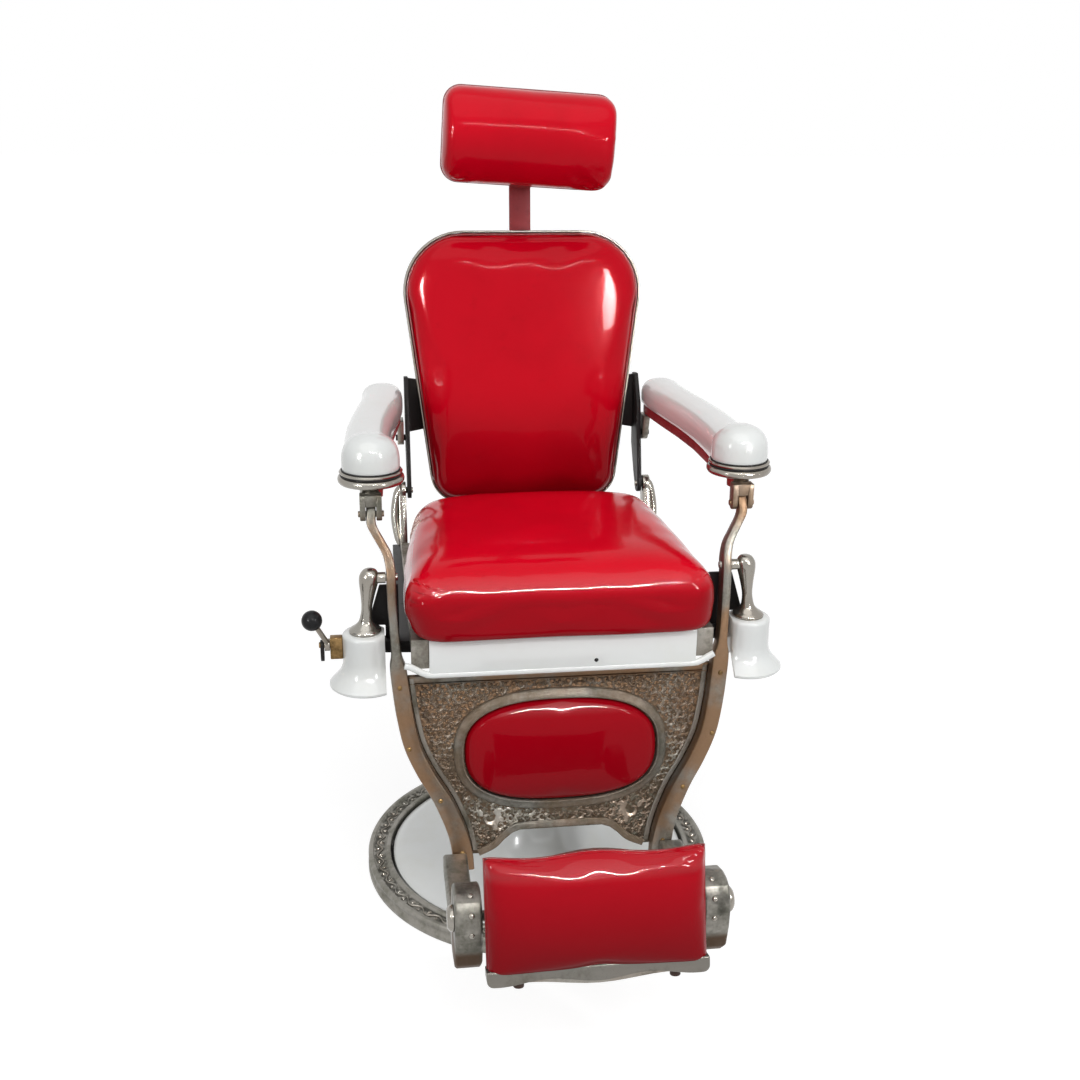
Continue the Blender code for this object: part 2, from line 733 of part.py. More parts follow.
def back_outline(inset=0.0, steps=7):
    low, high = BACK_LOW + inset, BACK_HIGH - inset
    lean = (BACK_HALF_HIGH - BACK_HALF_LOW) / (BACK_HIGH - BACK_LOW)
    wide_low, wide_high = BACK_HALF_LOW - inset + lean * inset, BACK_HALF_HIGH - inset - lean * inset
    corners = [(wide_low, low, 0.060 - inset), (wide_high, high, 0.115 - inset),
               (-wide_high, high, 0.115 - inset), (-wide_low, low, 0.060 - inset)]
    return rounded(corners, steps)


def on_back(obj, depth=0.0, height=0.0):
    """Stands an outline drawn across and up the back on the back's slope, its thickness towards the front."""
    y, z = back_point(depth, height)
    obj.rotation_euler = (math.pi / 2 - BACK_TILT, 0, 0)
    obj.location = (0, y, z)


def back_cushion():
    inset = RIM_THICK + GAP
    middle, tall = (BACK_LOW + BACK_HIGH) / 2, (BACK_HIGH - BACK_LOW) / 2 - inset
    wide = (BACK_HALF_LOW + BACK_HALF_HIGH) / 2
    loop = [(x, h - middle) for x, h in back_outline(inset)]

    def shape(u, v, w):
        x, h = fit(loop, u, w, wide, tall)
        front = BACK_CROWN * (0.55 + 0.45 * (1 - u ** 4) * (1 - w ** 4))
        depth = BACK_FRONT - GAP - front * (0.5 - 0.5 * spread(v, 1.6))
        draw = 0.999 - 0.025 * max(0, -v) ** 2
        return x * draw, *back_point(depth, middle + h * draw)

    return pillow("back_cushion", shape, 3, red_vinyl())


def strap(side):
    """A black side strap of the back: hinge eye, the stud of the arm link and a flange behind the panel."""
    name = "back_strap_right" if side > 0 else "back_strap_left"
    rear = BACK_FRONT + BACK_THICK + GAP
    c, s = math.cos(BACK_TILT), math.sin(BACK_TILT)
    link = (CRANK_Y * c - CRANK_Z * s, CRANK_Y * s + CRANK_Z * c)
    eye = [(0.016 * math.cos(math.radians(d)), 0.016 * math.sin(math.radians(d))) for d in range(180, 316, 15)]
    outline = eye + [
        (0.030, 0.020), (rear + 0.008, 0.075), (rear + 0.008, 0.215), (0.034, 0.215), (link[0] - 0.012, link[1] + 0.06),
        (link[0] - 0.017, link[1]), (-0.010, 0.050),
    ]
    loop = [back_point(*point) for point in outline]
    obj = plate(name, [loop], 0, STRAP_THICK, material("black_iron", (0.03, 0.028, 0.03), 0.35, 0.6))
    side_view(obj, (STRAP_IN if side > 0 else -STRAP_OUT, 0, 0))
    drill(obj, "eye_" + name, STUD_RADIUS + RUN, side * STRAP_IN * 0.9, side * STRAP_OUT * 1.1, HINGE_Y, PIVOT_Z)
    flange = plate("flange_" + name, [[(side * x, h) for x, h in (
        (0.120, 0.125), (STRAP_OUT - 0.001, 0.105), (STRAP_OUT - 0.001, 0.213), (0.120, 0.195))]], -0.008, 0, None)
    on_back(flange, rear)
    combine(obj, flange, "UNION")
    stud = rod("stud_" + name, STUD_RADIUS, STRAP_OUT - 0.004, BRACKET_FACE + 0.016, None)
    stud.rotation_euler = (0, side * math.pi / 2, 0)
    stud.location = (0, LINK_Y, LINK_Z)
    combine(obj, stud, "UNION")
    return obj


def back():
    inner = back_outline(RIM_THICK)
    rim = plate("back_rim", [back_outline(), inner], -BACK_THICK, 0.010, nickel())
    on_back(rim, BACK_FRONT)
    panel = plate("back_panel", [back_outline(RIM_THICK + GAP)], -BACK_THICK, 0, red_vinyl())
    on_back(panel, BACK_FRONT)
    made = [rim, panel, back_cushion(), strap(1), strap(-1)]
    inner_wall = BACK_FRONT + BACK_THICK + GAP
    slot_front = inner_wall + SOCKET_WALL
    slot_back = slot_front + POST_THICK + 2 * RUN
    half, play = POST_HALF + RUN + SOCKET_WALL, POST_HALF + RUN
    outer = [(-half, inner_wall), (half, inner_wall), (half, slot_back + SOCKET_WALL), (-half, slot_back + SOCKET_WALL)]
    slot = [(-play, slot_front), (play, slot_front), (play, slot_back), (-play, slot_back)]
    socket = plate("headrest_socket", [outer, slot], 0.340, 0.460, nickel())
    socket.rotation_euler = (-BACK_TILT, 0, 0)
    socket.location = (0, HINGE_Y, PIVOT_Z)
    hole = rod("cut_socket", 0.0046, -SOCKET_WALL - 0.002, 0.004, None, group=CUTTERS)
    hole.rotation_euler = (-math.pi / 2 - BACK_TILT, 0, 0)
    hole.location = (0, *back_point(slot_back + SOCKET_WALL, 0.400))
    combine(socket, hole, "DIFFERENCE")
    made.append(socket)
    return made


def thumb_screw():
    depth = BACK_FRONT + BACK_THICK + GAP + 2 * SOCKET_WALL + POST_THICK + 2 * RUN
    profile = [(0, 0.022), (0.011, 0.022), (0.014, 0.019), (0.014, 0.009), (0.009, 0.006), (0.009, RUN),
               (0.004, RUN), (0.004, -SOCKET_WALL - 0.0002), (0, -SOCKET_WALL - 0.0002)]
    obj = turned("post_thumb_screw", profile, nickel(), 16)
    y, z = back_point(depth, 0.400)
    obj.rotation_euler = (-math.pi / 2 - BACK_TILT, 0, 0)
    obj.location = (0, y, z)
    return [obj]


def post():
    """The flat bar that slides in the socket and bends forward to the headrest's hinge."""
    front = BACK_FRONT + BACK_THICK + GAP + SOCKET_WALL + RUN
    rear = front + POST_THICK
    c, s = math.cos(BACK_TILT), math.sin(BACK_TILT)
    dy, dz = HEAD_Y - HINGE_Y, HEAD_Z - PIVOT_Z
    tip_depth, tip_high = dy * c - dz * s, dy * s + dz * c
    eye = [(tip_depth + 0.011 * math.cos(math.radians(d)), tip_high + 0.011 * math.sin(math.radians(d)))
           for d in range(30, 241, 30)]
    outline = [(rear, 0.120), (rear, 0.572), (rear - 0.003, 0.585)] + eye + [(front, 0.566), (front, 0.120)]
    loop = [back_point(*point) for point in outline]
    paint = material("dull_red_paint", (0.22, 0.03, 0.035), 0.45)
    obj = plate("headrest_post", [loop], -POST_HALF, POST_HALF, paint)
    side_view(obj)
    drill(obj, "post_eye", HEAD_PIN + RUN, -0.05, 0.05, HEAD_Y, HEAD_Z)
    return [obj]


def headrest():
    plate_back = HEAD_Y - 0.028
    plate_front = plate_back - 0.010
    corners = [(0.118, -0.058, 0.030), (0.118, 0.058, 0.030), (-0.118, 0.058, 0.030), (-0.118, -0.058, 0.030)]
    shell = plate("headrest_shell", [rounded(corners)], 0, 0.010, iron())
    shell.rotation_euler = (math.pi / 2, 0, 0)
    shell.location = (0, plate_back, HEAD_Z)
    for s, name in ((1, "right"), (-1, "left")):
        ear = [(0.011 * math.cos(math.radians(d)), 0.011 * math.sin(math.radians(d))) for d in range(-90, 91, 30)]
        ear += [(-0.029, 0.014), (-0.029, -0.014)]
        lug = plate("lug_head_" + name, [ear], 0, 0.009, None)
        inner = POST_HALF + RUN
        side_view(lug, (inner if s > 0 else -inner - 0.009, HEAD_Y, HEAD_Z))
        combine(shell, lug, "UNION")
    drill(shell, "head_lugs", HEAD_PIN + GAP, -0.06, 0.06, HEAD_Y, HEAD_Z)
    pin = rod("headrest_pin", HEAD_PIN, -POST_HALF - 0.0125, POST_HALF + 0.0125, nickel())
    pin.rotation_euler = (0, math.pi / 2, 0)
    pin.location = (0, HEAD_Y, HEAD_Z)
    half, tall, thick = HEAD_HALF, HEAD_HIGH / 2, HEAD_THICK
    loop = rounded([(half, -tall, 0.030), (half, tall, 0.030), (-half, tall, 0.030), (-half, -tall, 0.030)])

    def shape(u, v, w):
        x, z = fit(loop, u, w, half, tall, 2.2)
        front = thick * (0.42 + 0.58 * (1 - 0.3 * u ** 4) * (1 - w * w) ** 0.6)
        depth = -GAP - front * (0.5 - 0.5 * spread(v, 1.4))
        draw = 1.012 - 0.04 * max(0, -v) ** 2
        return x * draw, depth, z * draw

    cushion = pillow("headrest_cushion", shape, 3, red_vinyl())
    cushion.rotation_euler = (0, HEAD_CANT, 0)
    cushion.location = (0, plate_front, HEAD_Z)
    return [shell, pin, cushion]


def arm_path(side):
    """The plan of an arm, from under its front dome to its rounded rear end."""
    rear = STRAP_OUT + SIDE_PLAY + ARM_HALF + 0.0015
    plan = [(1, DOME_Y), (1.132, -0.120), (1.076, -0.030), (0.774, 0.060), (0.321, 0.150), (0.038, 0.215), (0, 0.262)]
    return [Vector((side * (rear + share * (DOME_X - rear)), y, 0)) for share, y in plan]


def sweep(path, section, scales):
    """Rings of a section, drawn across and up, along a level path."""
    rings = []
    last = len(path) - 1
    for i, here in enumerate(path):
        ahead = (path[min(i + 1, last)] - path[max(i - 1, 0)]).normalized()
        across = Vector((-ahead.y, ahead.x, 0))
        wide, high = scales[i]
        rings.append([here + across * (a * wide) + Vector((0, 0, section_z(z, high))) for a, z in section])
    return rings


def section_z(z, share):
    return ARM_LOW + (z - ARM_LOW) * share


def arm(side):
    suffix = "right" if side > 0 else "left"
    path = arm_path(side)
    tail = path[-1] + Vector((0, 0.016, 0))
    end = path[-1] + Vector((0, 0.024, 0))
    half, low, rise = ARM_HALF, ARM_LOW, ARM_HIGH - ARM_LOW
    right = [(0.93 * half, low), (half, low + 0.18 * rise), (half, low + 0.50 * rise), (0.83 * half, low + 0.80 * rise),
             (0.46 * half, low + 0.965 * rise)]
    section = right + [(0, low + rise)] + [(-a, z) for a, z in reversed(right)]
    scales = [(1, 1)] * len(path) + [(0.86, 0.93), (0.52, 0.75)]
    top = loft("arm_top_" + suffix, sweep(path + [tail, end], section, scales), porcelain())
    r, high, base_z = DOME_RADIUS, DOME_HIGH, DOME_LOW
    profile = [(0, high), (0.40 * r, high - 0.0015), (0.74 * r, high - 0.010), (0.93 * r, high - 0.024),
               (r, high - 0.041), (r, base_z), (0, base_z)]
    dome = turned("dome_" + suffix, profile, None, 24)
    dome.location = (side * DOME_X, DOME_Y, 0)
    combine(top, dome, "UNION")
    clear = rod("cut_foot_" + suffix, FOOT_RADIUS + GAP, 0.78, base_z, None, 24, CUTTERS)
    clear.location = (side * DOME_X, DOME_Y, 0)
    combine(top, clear, "DIFFERENCE")
    strip_half = half - 0.0045
    strip = [(strip_half, RAIL_LOW), (strip_half, low - GAP), (-strip_half, low - GAP), (-strip_half, RAIL_LOW)]
    rail = loft("arm_rail_" + suffix, sweep(path, strip, [(1, 1)] * len(path)),
                material("maroon_paint", (0.12, 0.025, 0.03), 0.4))
    combine(rail, clear, "DIFFERENCE")
    made = [top, rail, arm_foot(side, suffix), arm_lug(side, suffix)]
    pin = rod("clevis_pin_" + suffix, 0.005, -CLEVIS_HALF - 0.003, CLEVIS_HALF + 0.003, nickel())
    pin.rotation_euler = (0, math.pi / 2, 0)
    pin.location = (side * CLEVIS_X, CLEVIS_Y, LINK_Z)
    made.append(pin)
    return made


def arm_foot(side, suffix):
    """The stepped ring under the dome, with the clevis that takes the leg rail."""
    r, low, top = FOOT_RADIUS, FOOT_LOW, DOME_LOW - GAP
    profile = [(0, top), (r - 0.004, top), (r - 0.0015, top - 0.0025), (r - 0.0015, top - 0.006),
               (r - 0.004, top - 0.0085), (r - 0.0035, top - 0.010), (r, top - 0.0125), (r, low + 0.0035),
               (r - 0.003, low), (0, low)]
    foot = turned("arm_foot_" + suffix, profile, nickel(), 24)
    foot.location = (side * DOME_X, DOME_Y, 0)
    x, half = side * CLEVIS_X, CLEVIS_HALF
    ears = block("ears_" + suffix, (x - half, CLEVIS_Y - 0.012, LINK_Z - 0.011), (x + half, CLEVIS_Y + 0.012, low + 0.004),
                 None)
    combine(foot, ears, "UNION")
    slot = block("cut_slot_" + suffix, (x - CLEVIS_SLOT, CLEVIS_Y - 0.03, LINK_Z - 0.03),
                 (x + CLEVIS_SLOT, CLEVIS_Y + 0.03, LINK_Z + 0.026), None, group=CUTTERS)
    combine(foot, slot, "DIFFERENCE")
    drill(foot, "clevis_" + suffix, 0.005 + GAP, x - 0.04, x + 0.04, CLEVIS_Y, LINK_Z)
    return foot


def arm_lug(side, suffix):
    """The rear lug that hangs the arm on the back's strap."""
    eye = [(LINK_Y + 0.014 * math.cos(math.radians(d)), LINK_Z + 0.014 * math.sin(math.radians(d)))
           for d in range(180, 361, 20)]
    outline = eye + [(LINK_Y + 0.016, RAIL_LOW - GAP), (LINK_Y - 0.026, RAIL_LOW - GAP)]
    hole = [(LINK_Y + (STUD_RADIUS + RUN) * math.cos(math.radians(d)), LINK_Z + (STUD_RADIUS + RUN) * math.sin(math.radians(d)))
            for d in range(0, 360, 24)]
    lug = plate("arm_lug_" + suffix, [outline, hole], 0, 0.012, nickel())
    low = BRACKET_FACE + 0.0006
    side_view(lug, (low if side > 0 else -low - 0.012, 0, 0))
    return lug


def rail_centre(drop):
    """Sideways place of the leg rail's middle at a height from the leg pivot."""
    path = RAIL_PATH
    for (z0, x0, _, _), (z1, x1, _, _) in zip(path, path[1:]):
        if z1 <= drop <= z0:
            share = (z0 - drop) / (z0 - z1)
            return x0 + (x1 - x0) * share
    return path[-1][1]


def above(share):
    """A sideways place between the leg pivot and the arm's clevis."""
    return RAIL_X + share * (CLEVIS_X - RAIL_X)


def below(share):
    """A sideways place between the rail's foot and the leg pivot."""
    return RAIL_FOOT + share * (RAIL_X - RAIL_FOOT)


# Leg rail: height from the leg pivot, sideways place, half width and half depth
RAIL_PATH = (
    (0.1100, above(1.0), 0.0075, 0.0050), (0.1060, above(1.0), 0.0075, 0.0092), (0.0990, above(1.0), 0.0075, 0.0110),
    (0.0815, above(1.0), 0.0075, 0.0115), (0.0580, above(0.57), 0.0075, 0.0120), (0.0380, above(0.18), 0.0075, 0.0135),
    (0.0150, above(0.02), 0.0075, 0.0155), (0.0000, RAIL_X, 0.0075, 0.0160), (-0.0200, RAIL_X, 0.0075, 0.0155),
    (-0.0600, below(0.99), 0.0075, 0.0140), (-0.1000, below(0.97), 0.0075, 0.0140),
    (-0.1300, below(0.952), 0.0085, 0.0140), (-0.1480, below(0.938), 0.0130, 0.0140),
    (-0.1800, below(0.905), 0.0140, 0.0140), (-0.2350, below(0.848), 0.0140, 0.0140),
    (-0.2840, below(0.762), 0.0140, 0.0140), (-0.3300, below(0.552), 0.0150, 0.0140),
    (-0.3770, below(0.286), 0.0165, 0.0140), (-0.4300, below(0.095), 0.0165, 0.0140),
    (-0.4700, below(0.010), 0.0175, 0.0140), (-0.5000, RAIL_FOOT, 0.0185, 0.0140),
)


def rail_depth(drop):
    return LEG_Y + (CRANK_Y / CRANK_Z if drop > 0 else RAIL_SLOPE) * drop


def leg_rail(side):
    suffix = "right" if side > 0 else "left"
    rings = []
    last = len(RAIL_PATH) - 1
    for i, (drop, x, half, deep) in enumerate(RAIL_PATH):
        above, below = RAIL_PATH[max(i - 1, 0)][0], RAIL_PATH[min(i + 1, last)][0]
        along = Vector((0, rail_depth(above) - rail_depth(below), above - below)).normalized()
        front = Vector((0, -along.z, along.y))
        centre = Vector((side * x, rail_depth(drop), PIVOT_Z + drop))
        cut = min(0.004, 0.5 * deep)
        ring = [(half - cut, deep), (half, deep - cut), (half, -deep + cut), (half - cut, -deep), (-half + cut, -deep),
                (-half, -deep + cut), (-half, deep - cut), (-half + cut, deep)]
        rings.append([centre + Vector((a, 0, 0)) + front * b for a, b in ring])
    obj = loft("leg_rail_" + suffix, rings, nickel())
    drill(obj, "rail_top_" + suffix, 0.005 + RUN, side * CLEVIS_X - 0.03, side * CLEVIS_X + 0.03, CLEVIS_Y, LINK_Z)
    drill(obj, "rail_pivot_" + suffix, STUD_RADIUS + RUN, side * RAIL_X - 0.03, side * RAIL_X + 0.03, LEG_Y, PIVOT_Z)
    return obj


def on_leg(obj):
    """Stands an outline drawn across and up the leg frame on its slope, its thickness towards the front."""
    obj.rotation_euler = (math.pi / 2 - RAIL_TILT, 0, 0)
    obj.location = (0, LEG_Y, PIVOT_Z)


def leg_panel():
    stretch = 1 / math.cos(RAIL_TILT)
    drops = [PANEL_TOP, -0.235, -0.284, -0.330, -0.377, -0.430, -0.470]
    right = [(rail_centre(d) - 0.003, d * stretch) for d in drops]
    foot = -0.485 * stretch
    right += [(RAIL_FOOT - inset, foot + rise) for inset, rise in (
        (0.009, 0), (0.029, 0), (0.051, 0.012), (0.071, 0.028), (0.099, 0.038))]
    loop = right + [(-x, s) for x, s in reversed(right)]
    front = -RAIL_DEPTH - GAP
    obj = plate("leg_panel", [loop], front - PANEL_THICK, front, nickel())
    on_leg(obj)
    return obj


def calf_rest():
    """The oval rim and pad on the leg panel."""
    stretch = 1 / math.cos(RAIL_TILT)
    middle = OVAL_DROP * stretch
    face = -RAIL_DEPTH

    def ring(extra):
        return [(x, s + middle) for x, s in stadium(OVAL_HALF + extra, OVAL_HIGH + extra)]

    rim = plate("calf_bezel", [ring(OVAL_RIM), ring(GAP)], face, face + 0.011, nickel())
    on_leg(rim)

    loop = stadium(OVAL_HALF - GAP, OVAL_HIGH - GAP)

    def shape(u, v, w):
        x, y = fit(loop, u, v, OVAL_HALF, OVAL_HIGH, 2.4)
        crown = 0.027 * (0.5 + 0.5 * (1 - u ** 4) * (1 - v ** 4))
        draw = 1.0 - 0.035 * max(0, w) ** 2
        return x * draw, middle + y * draw, face + crown * (0.5 + 0.5 * spread(w, 1.5))

    pad = pillow("calf_pad", shape, 3, red_vinyl())
    on_leg(pad)
    return [rim, pad]


def footrest_bracket(side):
    """The arm from a rail's lower end to the footrest's bearing block, with its trunnion."""
    suffix = "right" if side > 0 else "left"
    y, z = TREAD_Y, TREAD_Z

    def rear(height):
        slope_front = (RAIL_DEPTH + GAP) / math.cos(RAIL_TILT)
        return rail_depth(height - PIVOT_Z) - slope_front

    low, high = 0.191, 0.224
    loop = [
        (rear(low), low), (rear(high), high), (-0.420, high - 0.006), (-0.495, high - 0.006), (-0.518, high + 0.006),
        (-0.531, z - 0.020), (-0.540, z + 0.012), (-0.556, z + 0.030), (-0.580, z + 0.038), (y, z + 0.039),
        (y - 0.016, z + 0.034), (y - 0.027, z + 0.020), (y - 0.031, z), (y - 0.029, z - 0.030), (y - 0.020, z - 0.068),
        (y, z - 0.088), (-0.560, z - 0.098), (-0.450, z - 0.100),
    ]
    obj = plate("footrest_bracket_" + suffix, [loop], 0, BRACKET_OUT - BRACKET_IN, nickel(), bevel=0.003)
    side_view(obj, (BRACKET_IN if side > 0 else -BRACKET_OUT, 0, 0))
    drill(obj, "bracket_" + suffix, TRUNNION + GAP, side * (BRACKET_IN - 0.06), side * (BRACKET_OUT + 0.1), y, z)
    cap = BRACKET_OUT + GAP
    profile = [(0, cap + 0.010), (0.014, cap + 0.010), (0.019, cap + 0.006), (0.020, cap), (TRUNNION, cap),
               (TRUNNION, TREAD_HALF - 0.024), (0, TREAD_HALF - 0.024)]
    pin = turned("trunnion_" + suffix, profile, nickel(), 20)
    pin.rotation_euler = (0, side * math.pi / 2, 0)
    pin.location = (0, y, z)
    return [obj, pin]


def leg_frame():
    made = [leg_rail(1), leg_rail(-1), leg_panel()] + calf_rest()
    for side in (1, -1):
        made += footrest_bracket(side)
    return made


def on_tread(obj):
    """Stands an outline drawn across and up the footrest on its slope, its thickness towards the front."""
    obj.rotation_euler = (math.pi / 2 - TREAD_TILT, 0, 0)
    obj.location = (0, TREAD_Y, TREAD_Z)


def wave(share):
    """The ogee of the footrest's long edges, from the middle to an end."""
    return 0.006 * math.cos(share * 1.5 * math.pi)


def footrest():
    back_face, thick = 0.030, 0.010
    half = TREAD_HALF
    steps = [k / 8 for k in range(-8, 9)]
    top = [(half * t, TREAD_HIGH - 0.006 + wave(abs(t))) for t in reversed(steps)]
    bottom = [(half * t, TREAD_LOW + 0.004 - wave(abs(t)) * 0.7) for t in steps]
    frame = plate("footrest_frame", [top + bottom], back_face, back_face + thick, nickel())
    on_tread(frame)
    ledge_top = [(half * t * 0.995, TREAD_LOW + 0.018 - wave(abs(t)) * 0.7) for t in reversed(steps)]
    ledge_low = [(half * t * 0.995, TREAD_LOW + 0.0045 - wave(abs(t)) * 0.7) for t in steps]
    ledge = plate("ledge_footrest", [ledge_top + ledge_low], back_face + 0.002, back_face + thick + 0.020, None)
    on_tread(ledge)
    combine(frame, ledge, "UNION")
    for s, suffix in ((1, "right"), (-1, "left")):
        eye = [(0.016 * math.cos(math.radians(d)), 0.016 * math.sin(math.radians(d))) for d in range(90, 271, 20)]
        ear = [(-x, z) for x, z in eye] + [(-back_face - 0.003, -0.026), (-back_face - 0.003, 0.026)]
        lug = plate("lug_tread_" + suffix, [ear], 0, 0.020, None)
        turn_side(lug, (half - 0.021 if s > 0 else -half + 0.001, TREAD_Y, TREAD_Z))
        combine(frame, lug, "UNION")
        drill(frame, "tread_" + suffix, TRUNNION + RUN, s * (half - 0.06), s * (half + 0.04), TREAD_Y, TREAD_Z)
    made = [frame, footrest_pad(back_face + thick + GAP)]
    for s, suffix in ((1, "right"), (-1, "left")):
        edge = TREAD_LOW + 0.004 - wave(0.73) * 0.7
        foot = rod("footrest_foot_" + suffix, 0.008, -0.014, -GAP - 0.0006, material("brown_rubber", (0.06, 0.04, 0.03), 0.6), 16)
        c, t = math.cos(TREAD_TILT), math.sin(TREAD_TILT)
        depth = back_face + thick / 2 + 0.004
        foot.rotation_euler = (-TREAD_TILT, 0, 0)
        foot.location = (s * 0.73 * half, TREAD_Y - depth * c + edge * t, TREAD_Z + depth * t + edge * c)
        made.append(foot)
    return made


def turn_side(obj, at):
    """Stands a side outline upright and leans it with the footrest."""
    upright = Euler((math.pi / 2, 0, math.pi / 2)).to_quaternion()
    obj.rotation_mode = "QUATERNION"
    obj.rotation_quaternion = Quaternion((1, 0, 0), -TREAD_TILT) @ upright
    obj.location = at


def footrest_pad(face):
    low, high = TREAD_LOW + 0.026, TREAD_HIGH - 0.002
    middle, tall = (low + high) / 2, (high - low) / 2
    half = TREAD_HALF - 0.0005
    steps = [k / 8 for k in range(-8, 9)]
    loop = [(half * t, tall - 0.006 + wave(abs(t))) for t in reversed(steps)]
    loop += [(half * t, -tall + 0.004 - wave(abs(t)) * 0.7) for t in steps]

    def shape(u, v, w):
        x, y = fit(loop, u, v, half, tall)
        crown = 0.036 * (0.72 + 0.28 * (1 - u ** 4) * (1 - v ** 4))
        draw = 1.0 - 0.025 * max(0, w) ** 2
        return x * draw, middle + y * draw, face + crown * (0.5 + 0.5 * spread(w, 1.8))

    pad = pillow("footrest_pad", shape, 3, red_vinyl())
    on_tread(pad)
    return pad


def main():
    start()
    root = axis_empty("floor_centre", (0, 0, 0))
    lift_axis = axis_empty("lift_axis", (0, 0, FLANGE_Z), root)
    swivel = axis_empty("swivel_axis", (0, 0, FLANGE_Z + FLANGE_THICK), lift_axis)
    lever_axis = axis_empty("lever_axis", (-LEVER_FACE, LEVER_Y, LEVER_Z), swivel)
    trigger_axis = axis_empty("trigger_axis", (-LEVER_FACE, LEVER_Y, LEVER_Z), swivel)
    recline = axis_empty("recline_axis", (0, HINGE_Y, PIVOT_Z), swivel)
    legs = axis_empty("leg_axis", (0, LEG_Y, PIVOT_Z), swivel)
    tread = axis_empty("footrest_axis", (0, TREAD_Y, TREAD_Z), legs)
    right_link = axis_empty("right_arm_axis", (STRAP_OUT, LINK_Y, LINK_Z), recline)
    left_link = axis_empty("left_arm_axis", (-STRAP_OUT, LINK_Y, LINK_Z), recline)
    screw_y, screw_z = back_point(BACK_FRONT + BACK_THICK, 0.400)
    screw = axis_empty("thumb_screw_axis", (0, screw_y, screw_z), recline)
    slide = axis_empty("post_axis", (0, screw_y, screw_z), recline)
    head = axis_empty("headrest_axis", (0, HEAD_Y, HEAD_Z), slide)
    groups = (
        (base(), root), (lift(), lift_axis), (seat(), swivel), (lever(), lever_axis), (trigger(), trigger_axis),
        (back(), recline), (thumb_screw(), screw), (post(), slide), (headrest(), head),
        (arm(1), right_link), (arm(-1), left_link), (leg_frame(), legs), (footrest(), tread),
    )
    for pieces, parent in groups:
        for piece in pieces:
            hold(piece, parent)


main()
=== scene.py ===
"""Finish of an antique barber chair: upholstery, porcelain, aged nickel and cast ornament."""

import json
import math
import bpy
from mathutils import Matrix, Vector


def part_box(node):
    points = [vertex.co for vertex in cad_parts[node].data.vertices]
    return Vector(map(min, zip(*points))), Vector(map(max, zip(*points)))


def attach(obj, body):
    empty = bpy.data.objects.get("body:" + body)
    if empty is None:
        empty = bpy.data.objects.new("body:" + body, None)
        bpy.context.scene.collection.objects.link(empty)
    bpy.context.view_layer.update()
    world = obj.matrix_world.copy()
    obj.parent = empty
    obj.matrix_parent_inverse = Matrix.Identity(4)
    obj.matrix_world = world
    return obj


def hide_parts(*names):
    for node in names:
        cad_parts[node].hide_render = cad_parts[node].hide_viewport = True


bl_info = {
    "name": "Barber Chair Finish",
    "version": (1, 0, 0),
    "blender": (4, 5, 0),
    "location": "View3D > Sidebar > Barber Chair",
    "description": "Dresses the packed barber chair with upholstery, porcelain, nickel and cast ornament",
    "category": "Object",
}

import bpy
from mathutils import Matrix, Vector, noise
from mathutils.bvhtree import BVHTree

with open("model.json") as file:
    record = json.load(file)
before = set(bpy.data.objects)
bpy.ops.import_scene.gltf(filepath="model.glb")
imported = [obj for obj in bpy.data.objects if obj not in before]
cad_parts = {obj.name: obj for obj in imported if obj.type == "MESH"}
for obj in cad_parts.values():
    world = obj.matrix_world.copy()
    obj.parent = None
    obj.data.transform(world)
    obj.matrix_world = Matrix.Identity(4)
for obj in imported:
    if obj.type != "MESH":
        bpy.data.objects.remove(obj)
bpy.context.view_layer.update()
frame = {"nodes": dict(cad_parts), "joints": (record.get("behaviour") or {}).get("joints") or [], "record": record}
NODES = frame["nodes"]
BODY_OF = {node: body for body, nodes in frame["record"]["behaviour"]["bodies"].items() for node in nodes}
SLOT_OF = {part["node"]: part["material_slot"] for part in frame["record"]["subparts"]}
JOINTS = {joint["name"]: joint for joint in frame["joints"]}
SIDES = ((1, "right"), (-1, "left"))

# Clearance between pieces that meet, as in the frame
GAP = 0.0003

# Slopes and pivots of the frame
BACK_TILT = math.radians(5.0)
LEG_TILT = math.atan(0.130)
LEG_COS = math.cos(LEG_TILT)
TREAD_TILT = math.radians(15.0)
HEAD_CANT = math.radians(3.5)
HINGE = Vector(JOINTS["recline"]["pos_m"])
LEG_PIVOT = Vector(JOINTS["leg_swing"]["pos_m"])
TREAD_PIVOT = Vector(JOINTS["footrest_flip"]["pos_m"])
HEAD_PIVOT = Vector(JOINTS["headrest_tilt"]["pos_m"])
ARM_PIVOT = Vector(JOINTS["right_arm_link"]["pos_m"])
PIVOT_Z = LEG_PIVOT.z

# Sizes of the pads, as in the frame
SEAT_NEAR, SEAT_REAR = -0.335, 0.172
SEAT_MIDDLE, SEAT_LONG = (SEAT_NEAR + SEAT_REAR) / 2, (SEAT_REAR - SEAT_NEAR) / 2
SEAT_HALF, SEAT_FLOOR, SEAT_DECK, SEAT_FRONT = 0.247, 0.600, 0.5757, -0.294
SEAT_SWELL_LEFT, SEAT_SWELL_RIGHT = 0.0135, 0.0045
BACK_LOW, BACK_HIGH = -0.031, 0.490
BACK_HALF_LOW, BACK_HALF_HIGH = 0.177, 0.242
BACK_FRONT, RIM_THICK = 0.0225, 0.0035
HEAD_HALF, HEAD_HIGH = 0.154, 0.083
OVAL_HALF, OVAL_HIGH, OVAL_RIM = 0.163, 0.089, 0.017
OVAL_MIDDLE, OVAL_FACE = -0.305 / LEG_COS, -0.014
TREAD_HALF, TREAD_LOW, TREAD_HIGH = 0.1575, -0.088, 0.100
TREAD_FACE, TREAD_LIP = 0.0403, 0.027
TREAD_STEPS = [k / 20 for k in range(-20, 21)]

